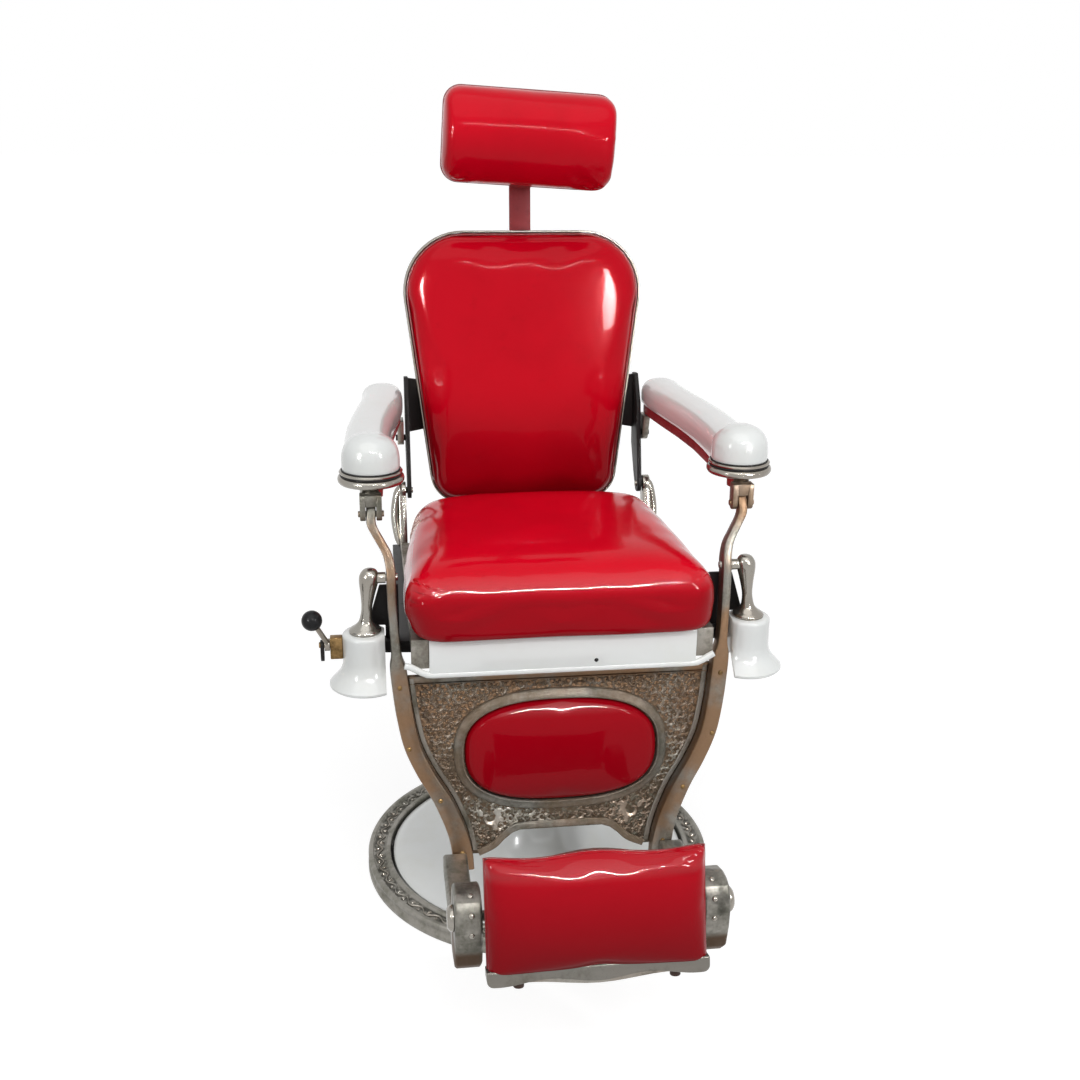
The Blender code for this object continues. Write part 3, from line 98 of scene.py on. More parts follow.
# Sizes of the castings, as in the frame
RING_RADIUS, RING_INNER, RING_TOP = 0.330, 0.287, 0.031
RAIL_X, RAIL_FOOT, CLEVIS_X = 0.274, 0.169, 0.302
RAIL_EDGE, SIDE_STRIP, BOLT_RADIUS = 0.0165, 0.0085, 0.0046
APRON_HALF, LIP_HALF, LIP_LOW, LIP_SHORT = 0.218, 0.2575, 0.535, 0.009
BELL_X, BELL_Y, BELL_RADIUS, BELL_FLARE = 0.318, -0.255, 0.037, 0.023
BELL_LOW, BELL_TOP, BELL_FLAT = 0.507, 0.598, 0.287
DOME_X, DOME_Y, DOME_RADIUS = 0.300, -0.210, 0.046
DOME_HIGH, DOME_LOW = 0.916, 0.8573
ARM_HALF, ARM_LOW, ARM_HIGH = 0.0385, 0.8445, 0.8930
FERRULE_RADIUS, CHEEK_IN, CHEEK_OUT = 0.0530, 0.0084, 0.0174
CRANK_RUN, CRANK_RISE = 0.025, 0.099
PANEL_FACE, PANEL_TOP, PANEL_ARCH = -0.0143, -0.169 / LEG_COS, (0.2445 - PIVOT_Z) / LEG_COS
CORNER_X, CORNER_RISE = 0.122, 0.024

# The panel's lower edge: steps aside, and up from the arch
ARCH = ((0.0, 0.0005), (0.068, -0.0005), (0.092, -0.0125), (0.112, -0.031), (0.139, -0.0435),
        (0.170, -0.0435))

# The photograph's camera
CAMERA_SPOT = Vector((-0.3014, -2.2097, 1.4213))
CAMERA_YAW, CAMERA_PITCH, CAMERA_ROLL = (math.radians(a) for a in (7.77, 18.95, -0.54))
CAMERA_LENS, CAMERA_SENSOR = 43.33, 36.0


def colour(name, about, *value):
    return bpy.props.FloatVectorProperty(
        name=name, description=about, subtype="COLOR", default=value, min=0, max=1)


def length(name, about, value):
    return bpy.props.FloatProperty(name=name, description=about, default=value, unit="LENGTH")


class ChairColours(bpy.types.PropertyGroup):
    """Colours of the chair's finishes, scene linear."""

    vinyl: colour("Vinyl", "Red of the upholstery", 0.66, 0.0012, 0.014)
    vinyl_deep: colour("Vinyl deep", "Darker red in folds", 0.30, 0.0008, 0.004)
    porcelain: colour("Porcelain", "White enamel", 0.80, 0.82, 0.81)
    nickel: colour("Nickel", "Worn plate", 0.30, 0.285, 0.255)
    patina: colour("Patina", "Tarnish of the plate", 0.105, 0.102, 0.082)
    bronze: colour("Bronze", "Metal that shows through", 0.215, 0.128, 0.072)
    iron: colour("Iron", "Black paint on iron", 0.020, 0.018, 0.018)
    maroon: colour("Maroon", "Dull red paint", 0.31, 0.032, 0.038)
    brass: colour("Brass", "Dull brass", 0.27, 0.168, 0.070)
    knob: colour("Knob", "Black ball of the lever", 0.012, 0.012, 0.013)
    rubber: colour("Rubber", "Brown feet of the footrest", 0.070, 0.030, 0.018)
    wood: colour("Wood", "Stained back board", 0.115, 0.045, 0.020)
    floor: colour("Floor", "Pale studio floor", 0.42, 0.42, 0.42)


class ChairSizes(bpy.types.PropertyGroup):
    """Sizes of the finish."""

    edge_round: length("Edge round", "Round of the castings' edges", 0.0012)
    welt: length("Welt", "Radius of the piping", 0.0022)
    puff: length("Puff", "Most that a cover swells", 0.005)
    scroll_pitch: length("Scroll pitch", "Distance between the panel's scrolls", 0.0130)
    scroll_rise: length("Scroll rise", "Height of the cast relief", 0.0024)
    ring_waves: bpy.props.IntProperty(
        name="Ring waves", description="Waves of the vine round the base ring", default=44, min=8)
    rivet: length("Rivet", "Radius of the rail's rivets", 0.0042)


class ChairSettings(bpy.types.PropertyGroup):
    """All that a user would change on the chair."""

    colours: bpy.props.PointerProperty(type=ChairColours)
    sizes: bpy.props.PointerProperty(type=ChairSizes)


def colours():
    return bpy.context.scene.barber_chair.colours


def sizes():
    return bpy.context.scene.barber_chair.sizes


# Finishes

class Value:
    """A shader socket that takes part in Python arithmetic."""

    def __init__(self, finish, socket):
        self.finish = finish
        self.socket = socket

    def maths(self, operation, one, two):
        return self.finish.add("ShaderNodeMath", {"operation": operation}, {0: one, 1: two})

    def __add__(self, other):
        return self.maths("ADD", self, other)

    __radd__ = __add__

    def __mul__(self, other):
        return self.maths("MULTIPLY", self, other)

    __rmul__ = __mul__

    def __sub__(self, other):
        return self.maths("SUBTRACT", self, other)

    def __rsub__(self, other):
        return self.maths("SUBTRACT", other, self)

    def __pow__(self, other):
        return self.maths("POWER", self, other)

    def smooth(self, low, high):
        """0 at low, 1 at high and a soft step between."""
        settings = {"interpolation_type": "SMOOTHSTEP"}
        return self.finish.add("ShaderNodeMapRange", settings, {0: self, 1: low, 2: high, 3: 0.0, 4: 1.0})


class Finish:
    """A material whose nodes are added by short calls."""

    def __init__(self, name, **flat):
        self.material = bpy.data.materials.new(name)
        self.material.use_nodes = True
        self.tree = self.material.node_tree
        self.shader = self.tree.nodes["Principled BSDF"]
        for socket, value in flat.items():
            self.put(socket.replace("_", " "), value)
        self.place = self.add("ShaderNodeTexCoord", {}, {}, "Object")

    def add(self, kind, settings, inputs, output=0):
        node = self.tree.nodes.new(kind)
        for key, value in settings.items():
            setattr(node, key, value)
        for key, value in inputs.items():
            self.join(node.inputs[key], value)
        return Value(self, node.outputs[output])

    def join(self, socket, value):
        if isinstance(value, Value):
            self.tree.links.new(value.socket, socket)
        elif isinstance(value, tuple) and len(value) == 3 and socket.type == "RGBA":
            socket.default_value = (*value, 1.0)
        else:
            socket.default_value = value

    def put(self, socket, value):
        self.join(self.shader.inputs[socket], value)

    def moved(self, **change):
        """The place, shifted or scaled."""
        return self.add("ShaderNodeMapping", {}, {"Vector": self.place, **change})

    def stirred(self, scale, depth):
        """The place, moved about by a noise."""
        stir = self.add("ShaderNodeTexNoise", {}, {"Vector": self.place, "Scale": scale}, "Color")
        inputs = {0: stir, 1: (depth, depth, depth), 2: self.place}
        return self.add("ShaderNodeVectorMath", {"operation": "MULTIPLY_ADD"}, inputs)

    def clouds(self, scale, detail=4.0, rough=0.55, place=None):
        inputs = {"Vector": place or self.place, "Scale": scale, "Detail": detail, "Roughness": rough}
        return self.add("ShaderNodeTexNoise", {}, inputs, "Fac")

    def cells(self, scale, feature="F1", place=None):
        inputs = {"Vector": place or self.place, "Scale": scale}
        return self.add("ShaderNodeTexVoronoi", {"feature": feature}, inputs, "Distance")

    def blend(self, share, one, two):
        """A colour between two colours."""
        return self.add("ShaderNodeMix", {"data_type": "RGBA"}, {0: share, 6: one, 7: two}, 2)

    def axis(self, letter):
        """One coordinate of the place."""
        return self.add("ShaderNodeSeparateXYZ", {}, {0: self.place}, letter)

    def plate(self, coarse, grain, low, high):
        """Patches, fine grain and the dull share of a worn plate."""
        patch, fine = self.clouds(coarse, 6.0, 0.62), self.clouds(grain, 4.0, 0.6)
        return patch, fine, (patch + 0.35 * fine).smooth(low, high)

    def done(self, base, rough, relief=None, depth=0.0, strength=1.0):
        """The material, with its colour, its roughness and its relief."""
        self.put("Base Color", base)
        self.put("Roughness", rough)
        if relief:
            inputs = {"Strength": strength, "Distance": depth, "Height": relief}
            self.put("Normal", self.add("ShaderNodeBump", {}, inputs))
        return self.material


def dim(tone, level=1.0):
    """A colour at a level."""
    return tuple(v * level for v in tone)


def red_vinyl(c, name, low, high, deep, full, shine):
    """Vinyl, with painted shade that keeps it deep red up to a low height and painted light that makes it full red
    from a high one, and a glossy band at shine.
    """
    finish = Finish(name, Coat_Roughness=0.03, IOR=1.5, Specular_IOR_Level=0.08,
                    Specular_Tint=(1.0, 0.35, 0.35, 1.0))
    tone = finish.clouds(7.0, 3.0)
    worn = finish.clouds(38.0, 5.0, 0.65).smooth(0.55, 0.80)
    height = finish.axis("Z")
    # Painted shade and light: the red runs darker low down and lighter high up
    body = finish.blend(height.smooth(low, high), dim(c.vinyl, deep), dim(c.vinyl, full))
    body = finish.blend(0.16 * tone.smooth(0.35, 0.70), body, dim(c.vinyl_deep))
    body = finish.blend(0.16 * worn, body, dim(c.vinyl_deep))
    polished = height.smooth(shine - 0.014, shine) * height.smooth(shine + 0.024, shine)
    finish.put("Coat Weight", 0.13 + 0.55 * polished)
    relief = 0.06 * finish.cells(620.0) + 0.9 * finish.clouds(17.0, 2.0, 0.5)
    return finish.done(body, 0.14 + 0.10 * worn + 0.05 * tone, relief, 0.0016, 0.30)


def porcelain(c, name, level):
    """Enamel with yellowed patches, dust and a few dark chips."""
    finish = Finish(name, Coat_Weight=0.5, Coat_Roughness=0.04, IOR=1.52)
    clean = dim(c.porcelain, level)
    aged = tuple(v * k for v, k in zip(clean, (0.96, 0.955, 0.93)))
    age = finish.clouds(9.0, 5.0, 0.6)
    dust = finish.clouds(90.0, 3.0).smooth(0.60, 0.85)
    chips = finish.cells(23.0).smooth(0.035, 0.022) * finish.clouds(14.0).smooth(0.60, 0.66)
    white = finish.blend(age.smooth(0.45, 0.75), clean, aged)
    white = finish.blend(chips, finish.blend(0.10 * dust, white, dim(clean, 0.75)), (0.045, 0.035, 0.030))
    relief = finish.clouds(55.0, 2.0) - 0.8 * chips
    return finish.done(white, 0.13 + 0.10 * age + 0.35 * chips, relief, 0.0008, 0.12)


def aged_nickel(c, name, bronze, tarnish, rough, level):
    """Worn plate; bronze and tarnish say how much of each shows."""
    finish = Finish(name, Metallic=0.92, IOR=1.6)
    patch, fine, dull = finish.plate(16.0, 140.0, 0.86 - 0.42 * tarnish, 1.12 - 0.30 * tarnish)
    bare = finish.clouds(8.0, 5.0, 0.6, finish.moved(Location=(3.1, 1.7, 0.4)))
    pits = finish.cells(420.0).smooth(0.20, 0.05)
    metal = finish.blend(dull, dim(c.nickel, level), dim(c.patina))
    metal = finish.blend(bronze * bare.smooth(0.34, 0.58), metal, dim(c.bronze))
    metal = finish.blend(0.5 * pits, metal, dim(c.patina, 0.35))
    relief = patch + 0.5 * fine - 0.5 * pits
    return finish.done(metal, rough + 0.22 * dull + 0.12 * fine, relief, 0.0007, 0.35)


def cast_ground(c):
    """The leafy, dirt-filled ground between the cast scrolls, browner towards the top, with painted highlights as
    bright glints on its pebbles.
    """
    finish = Finish("cast_ground", Metallic=0.80)
    warped = finish.stirred(60.0, 0.010)
    pebbles = finish.cells(330.0, "F1", warped)
    patch = finish.clouds(18.0, 5.0)
    leaves = finish.cells(165.0, "SMOOTH_F1", warped).smooth(0.62, 0.22)
    crest = leaves * (0.55 + 0.45 * pebbles.smooth(0.50, 0.15))
    metal = finish.blend(finish.axis("Z").smooth(0.27, 0.47), dim(c.patina, 1.75), dim(c.bronze, 1.60))
    dirt = finish.blend(patch, dim(c.patina, 0.55), dim(c.bronze, 0.75))
    # Painted highlight: bright nickel glints scattered over the pebbles
    painted_glint = pebbles.smooth(0.22, 0.08) * finish.clouds(45.0).smooth(0.50, 0.64)
    body = finish.blend(0.8 * painted_glint, finish.blend(crest, dirt, metal), dim(c.nickel, 1.6))
    return finish.done(body, 0.60 - 0.24 * crest, crest + 0.25 * patch, 0.0022, 0.85)


def ring_nickel(c):
    """Dull plate with a leafy, dirt-filled relief in the ring's sunk band."""
    finish = Finish("ring_nickel", Metallic=0.88)
    across, along = finish.axis("X"), finish.axis("Y")
    radius = (across * across + along * along) ** 0.5
    band = radius.smooth(RING_INNER + 0.009, RING_INNER + 0.012)
    band = band * radius.smooth(RING_RADIUS - 0.010, RING_RADIUS - 0.013)
    band = band * finish.axis("Z").smooth(0.018, 0.022)
    crest = finish.cells(105.0, "SMOOTH_F1", finish.stirred(55.0, 0.014)).smooth(0.60, 0.24)
    patch, fine, dull = finish.plate(20.0, 150.0, 0.52, 0.92)
    metal = finish.blend(dull, dim(c.nickel, 0.95), dim(c.patina, 1.5))
    cavity = band * (1 - crest)
    metal = finish.blend(0.78 * cavity, metal, dim(c.patina, 0.40))
    relief = 0.35 * patch + 0.25 * fine + 1.6 * band * crest
    return finish.done(metal, 0.36 + 0.20 * dull + 0.12 * cavity, relief, 0.0016, 0.6)


def bracket_nickel(c):
    """Dull plate that is bare and brown at the foot of the bracket's block."""
    finish = Finish("bracket_nickel", Metallic=0.80)
    patch, fine, dull = finish.plate(22.0, 160.0, 0.45, 0.90)
    metal = finish.blend(dull, dim(c.nickel, 0.95), dim(c.patina))
    foot = (finish.axis("Z") + 0.016 * patch).smooth(0.258, 0.244) * finish.axis("Y").smooth(-0.535, -0.560)
    rust = finish.blend(fine, dim(c.bronze, 0.30), dim(c.bronze, 0.45))
    dark = finish.clouds(34.0, 3.0, 0.5).smooth(0.54, 0.70)
    metal = finish.blend(foot, finish.blend(0.70 * dark, metal, dim(c.patina, 0.35)), rust)
    relief = patch + 0.5 * fine - 0.4 * dark
    return finish.done(metal, 0.34 + 0.22 * dull + 0.15 * foot, relief, 0.0009, 0.4)


def black_iron(c):
    """Black paint, worn grey in places."""
    finish = Finish("black_iron", Metallic=0.0, Specular_IOR_Level=0.12)
    worn = finish.clouds(45.0, 6.0, 0.65).smooth(0.58, 0.76)
    paint = finish.blend(0.6 * worn, dim(c.iron), dim(c.patina, 0.5))
    return finish.done(paint, 0.42 + 0.25 * worn, finish.clouds(120.0), 0.0006, 0.3)


def worn_coat(name, one, two, grain, step, rough, relief=None, stretch=(1.0, 1.0, 1.0), **flat):
    """A coat whose colour, roughness and relief all follow one cloudy grain."""
    finish = Finish(name, **flat)
    worn = finish.clouds(*grain, finish.moved(Scale=stretch))
    base = finish.blend(worn.smooth(*step) if step else worn, one, two)
    gloss = rough[0] + rough[1] * worn
    return finish.done(base, gloss, worn, *relief) if relief else finish.done(base, gloss)


FINISHES = {}
MAKERS = {
    # Painted shade and light: each pad's red is set darker or lighter by how much light falls on it, lower pads
    # darker
    "seat_vinyl": lambda c: red_vinyl(c, "red_vinyl_seat", 0.655, 0.712, 0.58, 1.10, 0.688),
    "back_vinyl": lambda c: red_vinyl(c, "red_vinyl_back", 0.74, 0.92, 0.66, 0.98, 0.0),
    "headrest_vinyl": lambda c: red_vinyl(c, "red_vinyl_head", 1.28, 1.40, 0.84, 1.14, 0.0),
    "calf_vinyl": lambda c: red_vinyl(c, "red_vinyl_calf", 0.32, 0.46, 0.48, 0.60, 0.460),
    "footrest_vinyl": lambda c: red_vinyl(c, "red_vinyl_foot", 0.24, 0.39, 0.40, 0.72, 0.379),
    "porcelain": lambda c: porcelain(c, "white_porcelain", 1.0),
    # Painted light: porcelain made lighter to cancel the shade on the apron under the seat and on the pedestal
    "enamel": lambda c: porcelain(c, "white_porcelain_painted_light", 1.17),
    "nickel": lambda c: aged_nickel(c, "aged_nickel", 0.25, 0.50, 0.30, 1.0),
    "bronzed": lambda c: aged_nickel(c, "bronzed_nickel", 0.95, 0.70, 0.30, 0.74),
    "bright": lambda c: aged_nickel(c, "bright_nickel", 0.15, 0.20, 0.14, 1.05),
    "dull": lambda c: aged_nickel(c, "dull_nickel", 0.15, 0.70, 0.38, 1.0),
    "clevis": lambda c: aged_nickel(c, "clevis_nickel", 0.55, 0.85, 0.34, 0.72),
    "bezel": lambda c: aged_nickel(c, "bezel_nickel", 0.40, 0.95, 0.50, 0.74),
    "lip": lambda c: aged_nickel(c, "lip_nickel", 0.05, 0.45, 0.26, 0.62),
    "relief": lambda c: aged_nickel(c, "relief_nickel", 0.60, 0.35, 0.34, 1.35),
    "ring": ring_nickel,
    "bracket": bracket_nickel,
    "ground": cast_ground,
    "iron": black_iron,
    "welt": lambda c: worn_coat(
        "dark_red_welt", dim(c.vinyl_deep, 0.35), dim(c.vinyl_deep), (60.0, 4.0, 0.55), None, (0.35, 0.2),
        Coat_Weight=0.2, Coat_Roughness=0.2),
    "maroon": lambda c: worn_coat(
        "maroon_paint", dim(c.maroon), dim(c.maroon, 0.62), (35.0, 5.0, 0.6), (0.45, 0.75), (0.38, 0.25),
        (0.0006, 0.25), Coat_Weight=0.03, Coat_Roughness=0.2, Specular_IOR_Level=0.12),
    "brass": lambda c: worn_coat(
        "dull_brass", dim(c.brass), dim(c.brass, 0.35), (60.0, 5.0, 0.6), (0.40, 0.70), (0.30, 0.30),
        (0.0005, 0.3), Metallic=0.95),
    "ball": lambda c: worn_coat(
        "black_ball", dim(c.knob), dim(c.knob, 1.8), (80.0, 4.0, 0.55), None, (0.20, 0.15),
        Coat_Weight=0.12, Coat_Roughness=0.08, Specular_IOR_Level=0.06),
    "rubber": lambda c: worn_coat(
        "brown_rubber", dim(c.rubber), dim(c.rubber, 0.5), (90.0, 4.0, 0.55), None, (0.55, 0.2),
        (0.0006, 0.4)),
    "wood": lambda c: worn_coat(
        "stained_wood", dim(c.wood), dim(c.wood, 0.38), (14.0, 6.0, 0.7), (0.35, 0.68), (0.32, 0.2),
        (0.0005, 0.3), (9.0, 9.0, 0.9), Coat_Weight=0.3, Coat_Roughness=0.2),
}


def finish_of(kind):
    """A kind of finish, made on its first use."""
    if kind not in FINISHES:
        FINISHES[kind] = MAKERS[kind](colours())
    return FINISHES[kind]


# Modelling

def deselect():
    if bpy.context.object and bpy.context.object.mode != "OBJECT":
        bpy.ops.object.mode_set(mode="OBJECT")
    bpy.ops.object.select_all(action="DESELECT")


def take(obj):
    deselect()
    obj.select_set(True)
    bpy.context.view_layer.objects.active = obj


def edit_all(obj):
    take(obj)
    bpy.ops.object.mode_set(mode="EDIT")
    bpy.ops.mesh.select_all(action="SELECT")


def done_editing():
    bpy.ops.object.mode_set(mode="OBJECT")


def face_out(obj):
    """Turns all faces of a piece outwards."""
    edit_all(obj)
    bpy.ops.mesh.normals_make_consistent(inside=False)
    done_editing()
    return obj


def apply_all(obj):
    take(obj)
    for modifier in list(obj.modifiers):
        bpy.ops.object.modifier_apply(modifier=modifier.name)


def smooth(obj, degrees=38):
    take(obj)
    bpy.ops.object.shade_smooth_by_angle(angle=math.radians(degrees))


def round_edges(obj, width, segments, degrees):
    bevel = obj.modifiers.new("Round", "BEVEL")
    bevel.width = width
    bevel.segments = segments
    bevel.limit_method = "ANGLE"
    bevel.angle_limit = math.radians(degrees)
    apply_all(obj)


def linked(name, mesh):
    obj = bpy.data.objects.new(name, mesh)
    bpy.context.scene.collection.objects.link(obj)
    return obj


def mesh_object(name, points, faces):
    mesh = bpy.data.meshes.new(name)
    mesh.from_pydata([tuple(p) for p in points], [], faces)
    return linked(name, mesh)


def join(pieces, name):
    deselect()
    for piece in pieces:
        piece.select_set(True)
    bpy.context.view_layer.objects.active = pieces[0]
    bpy.ops.object.join()
    pieces[0].name = name
    return pieces[0]


def place_on(obj, kind, body, *nodes, slot=None, angle=None):
    """Gives a piece its smooth angle, its finish, its body and the nodes that it stands for."""
    if angle:
        smooth(obj, angle)
    obj.data.materials.clear()
    obj.data.materials.append(finish_of(kind))
    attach(obj, body)
    if nodes:
        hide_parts(*nodes)
        slot = slot or SLOT_OF[nodes[0]]
    return obj


def casting(node, kind, edge=None, segments=2, degrees=32):
    """A copy of a node with its edges rounded."""
    obj = linked(node + "_finished", NODES[node].data.copy())
    take(obj)
    bpy.ops.mesh.customdata_custom_splitnormals_clear()
    edit_all(obj)
    bpy.ops.mesh.remove_doubles(threshold=0.00001)
    bpy.ops.mesh.dissolve_limited(angle_limit=math.radians(1.0))
    done_editing()
    round_edges(obj, edge or sizes().edge_round, segments, degrees)
    smooth(obj)
    place_on(obj, kind, BODY_OF[node], node)


def at(r, z, *steps):
    """Points of a profile, stepped in millimetres from a radius and a height."""
    return [(r + a / 1000, z + b / 1000) for a, b in steps]


def turn(name, profile, centre=(0, 0), steps=64, closed=False):
    """A ring drawn out step by step along a profile of radius and height, as on a lathe."""
    x, y = centre
    pole = 0.00002
    points = [(max(r, pole), z) for r, z in profile]
    if closed:
        points.append(points[0])
    deselect()
    bpy.ops.mesh.primitive_circle_add(vertices=steps, radius=points[0][0], location=(x, y, points[0][1]))
    obj = bpy.context.object
    obj.name = name
    bpy.ops.object.transform_apply(location=True, rotation=False, scale=False)
    edit_all(obj)
    for (r0, z0), (r1, z1) in zip(points, points[1:]):
        bpy.ops.mesh.extrude_region_move(TRANSFORM_OT_translate={"value": (0, 0, z1 - z0)})
        bpy.ops.transform.resize(value=(r1 / r0, r1 / r0, 1), center_override=(x, y, z1))
    bpy.ops.mesh.select_all(action="SELECT")
    bpy.ops.mesh.remove_doubles(threshold=2 * pole)
    done_editing()
    return face_out(obj)


def through(points, steps=4):
    """A smooth line through points, by Catmull and Rom's rule."""
    points = [Vector(p) for p in points]
    last = len(points) - 1
    line = []
    for i in range(last):
        a, b, c, d = (points[min(max(i + k, 0), last)] for k in (-1, 0, 1, 2))
        for t in (k / steps for k in range(steps)):
            line.append(0.5 * (2 * b + (c - a) * t + (2 * a - 5 * b + 4 * c - d) * t * t
                               + (3 * b - a - 3 * c + d) * t ** 3))
    return line + [points[-1]]


def profile_through(points, steps=4):
    return [(max(p.x, 0.0), p.y) for p in through([(r, z, 0) for r, z in points], steps)]


def between(table, value):
    """A value read in straight lines off a table of rising steps."""
    for (x0, y0), (x1, y1) in zip(table, table[1:]):
        if x0 <= value <= x1:
            return y0 + (y1 - y0) * (value - x0) / (x1 - x0)
    raise ValueError("outside the table")


def ray(angle):
    return Vector((math.cos(angle), math.sin(angle), 0))


def heading(path, i):
    """The way that a path runs at one of its points."""
    return (path[min(i + 1, len(path) - 1)] - path[max(i - 1, 0)]).normalized()


def rings_mesh(name, rings, closed=False):
    """A skin over rings of points, with caps unless it is closed."""
    width, count = len(rings[0]), len(rings)
    faces = []
    for i in range(count if closed else count - 1):
        a, b = i * width, (i + 1) % count * width
        faces += [(a + k, a + (k + 1) % width, b + (k + 1) % width, b + k) for k in range(width)]
    if not closed:
        faces.append(tuple(range(width))[::-1])
        faces.append(tuple((count - 1) * width + k for k in range(width)))
    return face_out(mesh_object(name, [p for ring in rings for p in ring], faces))


def moulding(name, outline, section, matrix):
    """A section of outward and forward steps run round a closed flat outline."""
    rings = []
    for i, (x, y) in enumerate(outline):
        (x0, y0), (x1, y1) = outline[i - 1], outline[(i + 1) % len(outline)]
        along = Vector((x1 - x0, y1 - y0)).normalized()
        rings.append([matrix @ Vector((x + along.y * a, y - along.x * a, h)) for a, h in section])
    return rings_mesh(name, rings, closed=True)


def plate(name, outline, low, high, matrix, edge=0.0012, segments=2):
    """A flat outline drawn out to a thickness, with its edges rounded."""
    obj = mesh_object(name, [(x, y, low) for x, y in outline], [tuple(range(len(outline)))])
    edit_all(obj)
    bpy.ops.mesh.extrude_region_move(TRANSFORM_OT_translate={"value": (0, 0, high - low)})
    done_editing()
    face_out(obj)
    round_edges(obj, edge, segments, 40)
    obj.data.transform(matrix)
    smooth(obj)
    return obj


def aimed(spot, way):
    """The matrix that sets a piece on a spot with its axis along a way."""
    return Matrix.Translation(spot) @ Vector((0, 0, 1)).rotation_difference(Vector(way)).to_matrix().to_4x4()


def drill(obj, spot, radius, long=0.05):
    """A round hole across a piece, along X."""
    deselect()
    bpy.ops.mesh.primitive_cylinder_add(vertices=24, radius=radius, depth=long)
    tool = bpy.context.object
    tool.data.transform(aimed(spot, (1, 0, 0)))
    hole = obj.modifiers.new("Hole", "BOOLEAN")
    hole.operation = "DIFFERENCE"
    hole.object = tool
    apply_all(obj)
    bpy.data.objects.remove(tool)


def oval(wide, tall, count, x=0.0, y=0.0):
    """Points round an ellipse."""
    turns = [2 * math.pi * k / count for k in range(count)]
    return [(x + wide * math.cos(t), y + tall * math.sin(t)) for t in turns]


def power_of(value, power):
    """A power that keeps the sign."""
    return math.copysign(abs(value) ** power, value)


def stadium(half, high, steps=96, power=2 / 2.6):
    """An outline between an ellipse and a box."""
    return [(power_of(x, power) * half, power_of(y, power) * high) for x, y in oval(1, 1, steps)]


def rounded(corners, steps=10):
    """A closed outline with an arc of a radius at each corner, counter-clockwise."""
    line = []
    for i, (x, y, radius) in enumerate(corners):
        here = Vector((x, y))
        back = (Vector(corners[i - 1][:2]) - here).normalized()
        on = (Vector(corners[(i + 1) % len(corners)][:2]) - here).normalized()
        half = back.angle(on) / 2
        run = radius / math.tan(half)
        middle = here + (back + on).normalized() * (radius / math.sin(half))
        first, last = here + back * run - middle, here + on * run - middle
        span = first.angle(last)
        for t in (k / steps for k in range(steps + 1)):
            arm = (first * math.sin((1 - t) * span) + last * math.sin(t * span)) / math.sin(span)
            line.append(tuple(middle + arm))
    return line


def mirrored(corners):
    """Corners on the right side and their mirror images, counter-clockwise."""
    return corners + [(-x, y, radius) for x, y, radius in reversed(corners)]


def reach(outline, x, y):
    """How far a ray from the middle runs to an outline, in lengths of the ray."""
    best = 0.0
    for (x0, y0), (x1, y1) in zip(outline, outline[1:] + outline[:1]):
        ex, ey = x1 - x0, y1 - y0
        cross = x * ey - y * ex
        if abs(cross) < 1e-12:
            continue
        if -1e-6 <= (x0 * y - y0 * x) / cross <= 1 + 1e-6:
            best = max(best, (x0 * ey - y0 * ex) / cross)
    return best


def plane_frame(origin, tilt):
    """The matrix of a slope that stands on a hinge: across, up the slope and forward."""
    return Matrix.Translation(origin) @ Matrix.Rotation(math.pi / 2 - tilt, 4, "X")


BACK_FRAME = plane_frame(HINGE, BACK_TILT)
LEG_FRAME = plane_frame(LEG_PIVOT, LEG_TILT)
TREAD_FRAME = plane_frame(TREAD_PIVOT, TREAD_TILT)
HEAD_FRAME = (Matrix.Translation(HEAD_PIVOT + Vector((0, -0.038, 0))) @ Matrix.Rotation(HEAD_CANT, 4, "Y")
              @ Matrix.Rotation(math.pi / 2, 4, "X"))


# Upholstery

class PadForm:
    """A pad over a flat outline: its thickness, the rounds of its two edges and its crown."""

    def __init__(self, outline, half, high, thick, edge_top, edge_low, crown):
        self.outline, self.half, self.high, self.thick = outline, half, high, thick
        self.edge_top, self.edge_low, self.crown = edge_top, edge_low, crown

    def point(self, u, v, w):
        """The place of a point of a cube that is 2 across."""
        size = max(abs(u), abs(v))
        lift = self.thick * (0.5 + 0.5 * w)
        if size < 1e-6:
            return Vector((0, 0, lift + self.crown(0, 0) * (0.5 + 0.5 * w)))
        arm = Vector((u / size * self.half, v / size * self.high))
        span = reach(self.outline, arm.x, arm.y) * arm.length
        run = span * (1 - (1 - size) ** 2)
        edge = self.edge_top if w > 0 else self.edge_low
        flat_run = min(run, span - edge)
        flat_lift = min(max(lift, self.edge_low), self.thick - self.edge_top)
        out = Vector((run - flat_run, lift - flat_lift))
        if out.length > edge:
            out *= edge / out.length
        run, lift = flat_run + out.x, flat_lift + out.y
        spot = arm.normalized() * run
        rise = self.crown(spot.x / self.half, spot.y / self.high) * max(0.0, lift / self.thick)
        return Vector((spot.x, spot.y, lift + rise))


def pad(name, form, matrix, cuts=25):
    """A cube's cage drawn to a pad's form."""
    deselect()
    bpy.ops.mesh.primitive_cube_add(size=2)
    obj = bpy.context.object
    obj.name = name
    edit_all(obj)
    bpy.ops.mesh.subdivide(number_cuts=cuts)
    done_editing()
    for vertex in obj.data.vertices:
        vertex.co = matrix @ form.point(*vertex.co)
    return obj


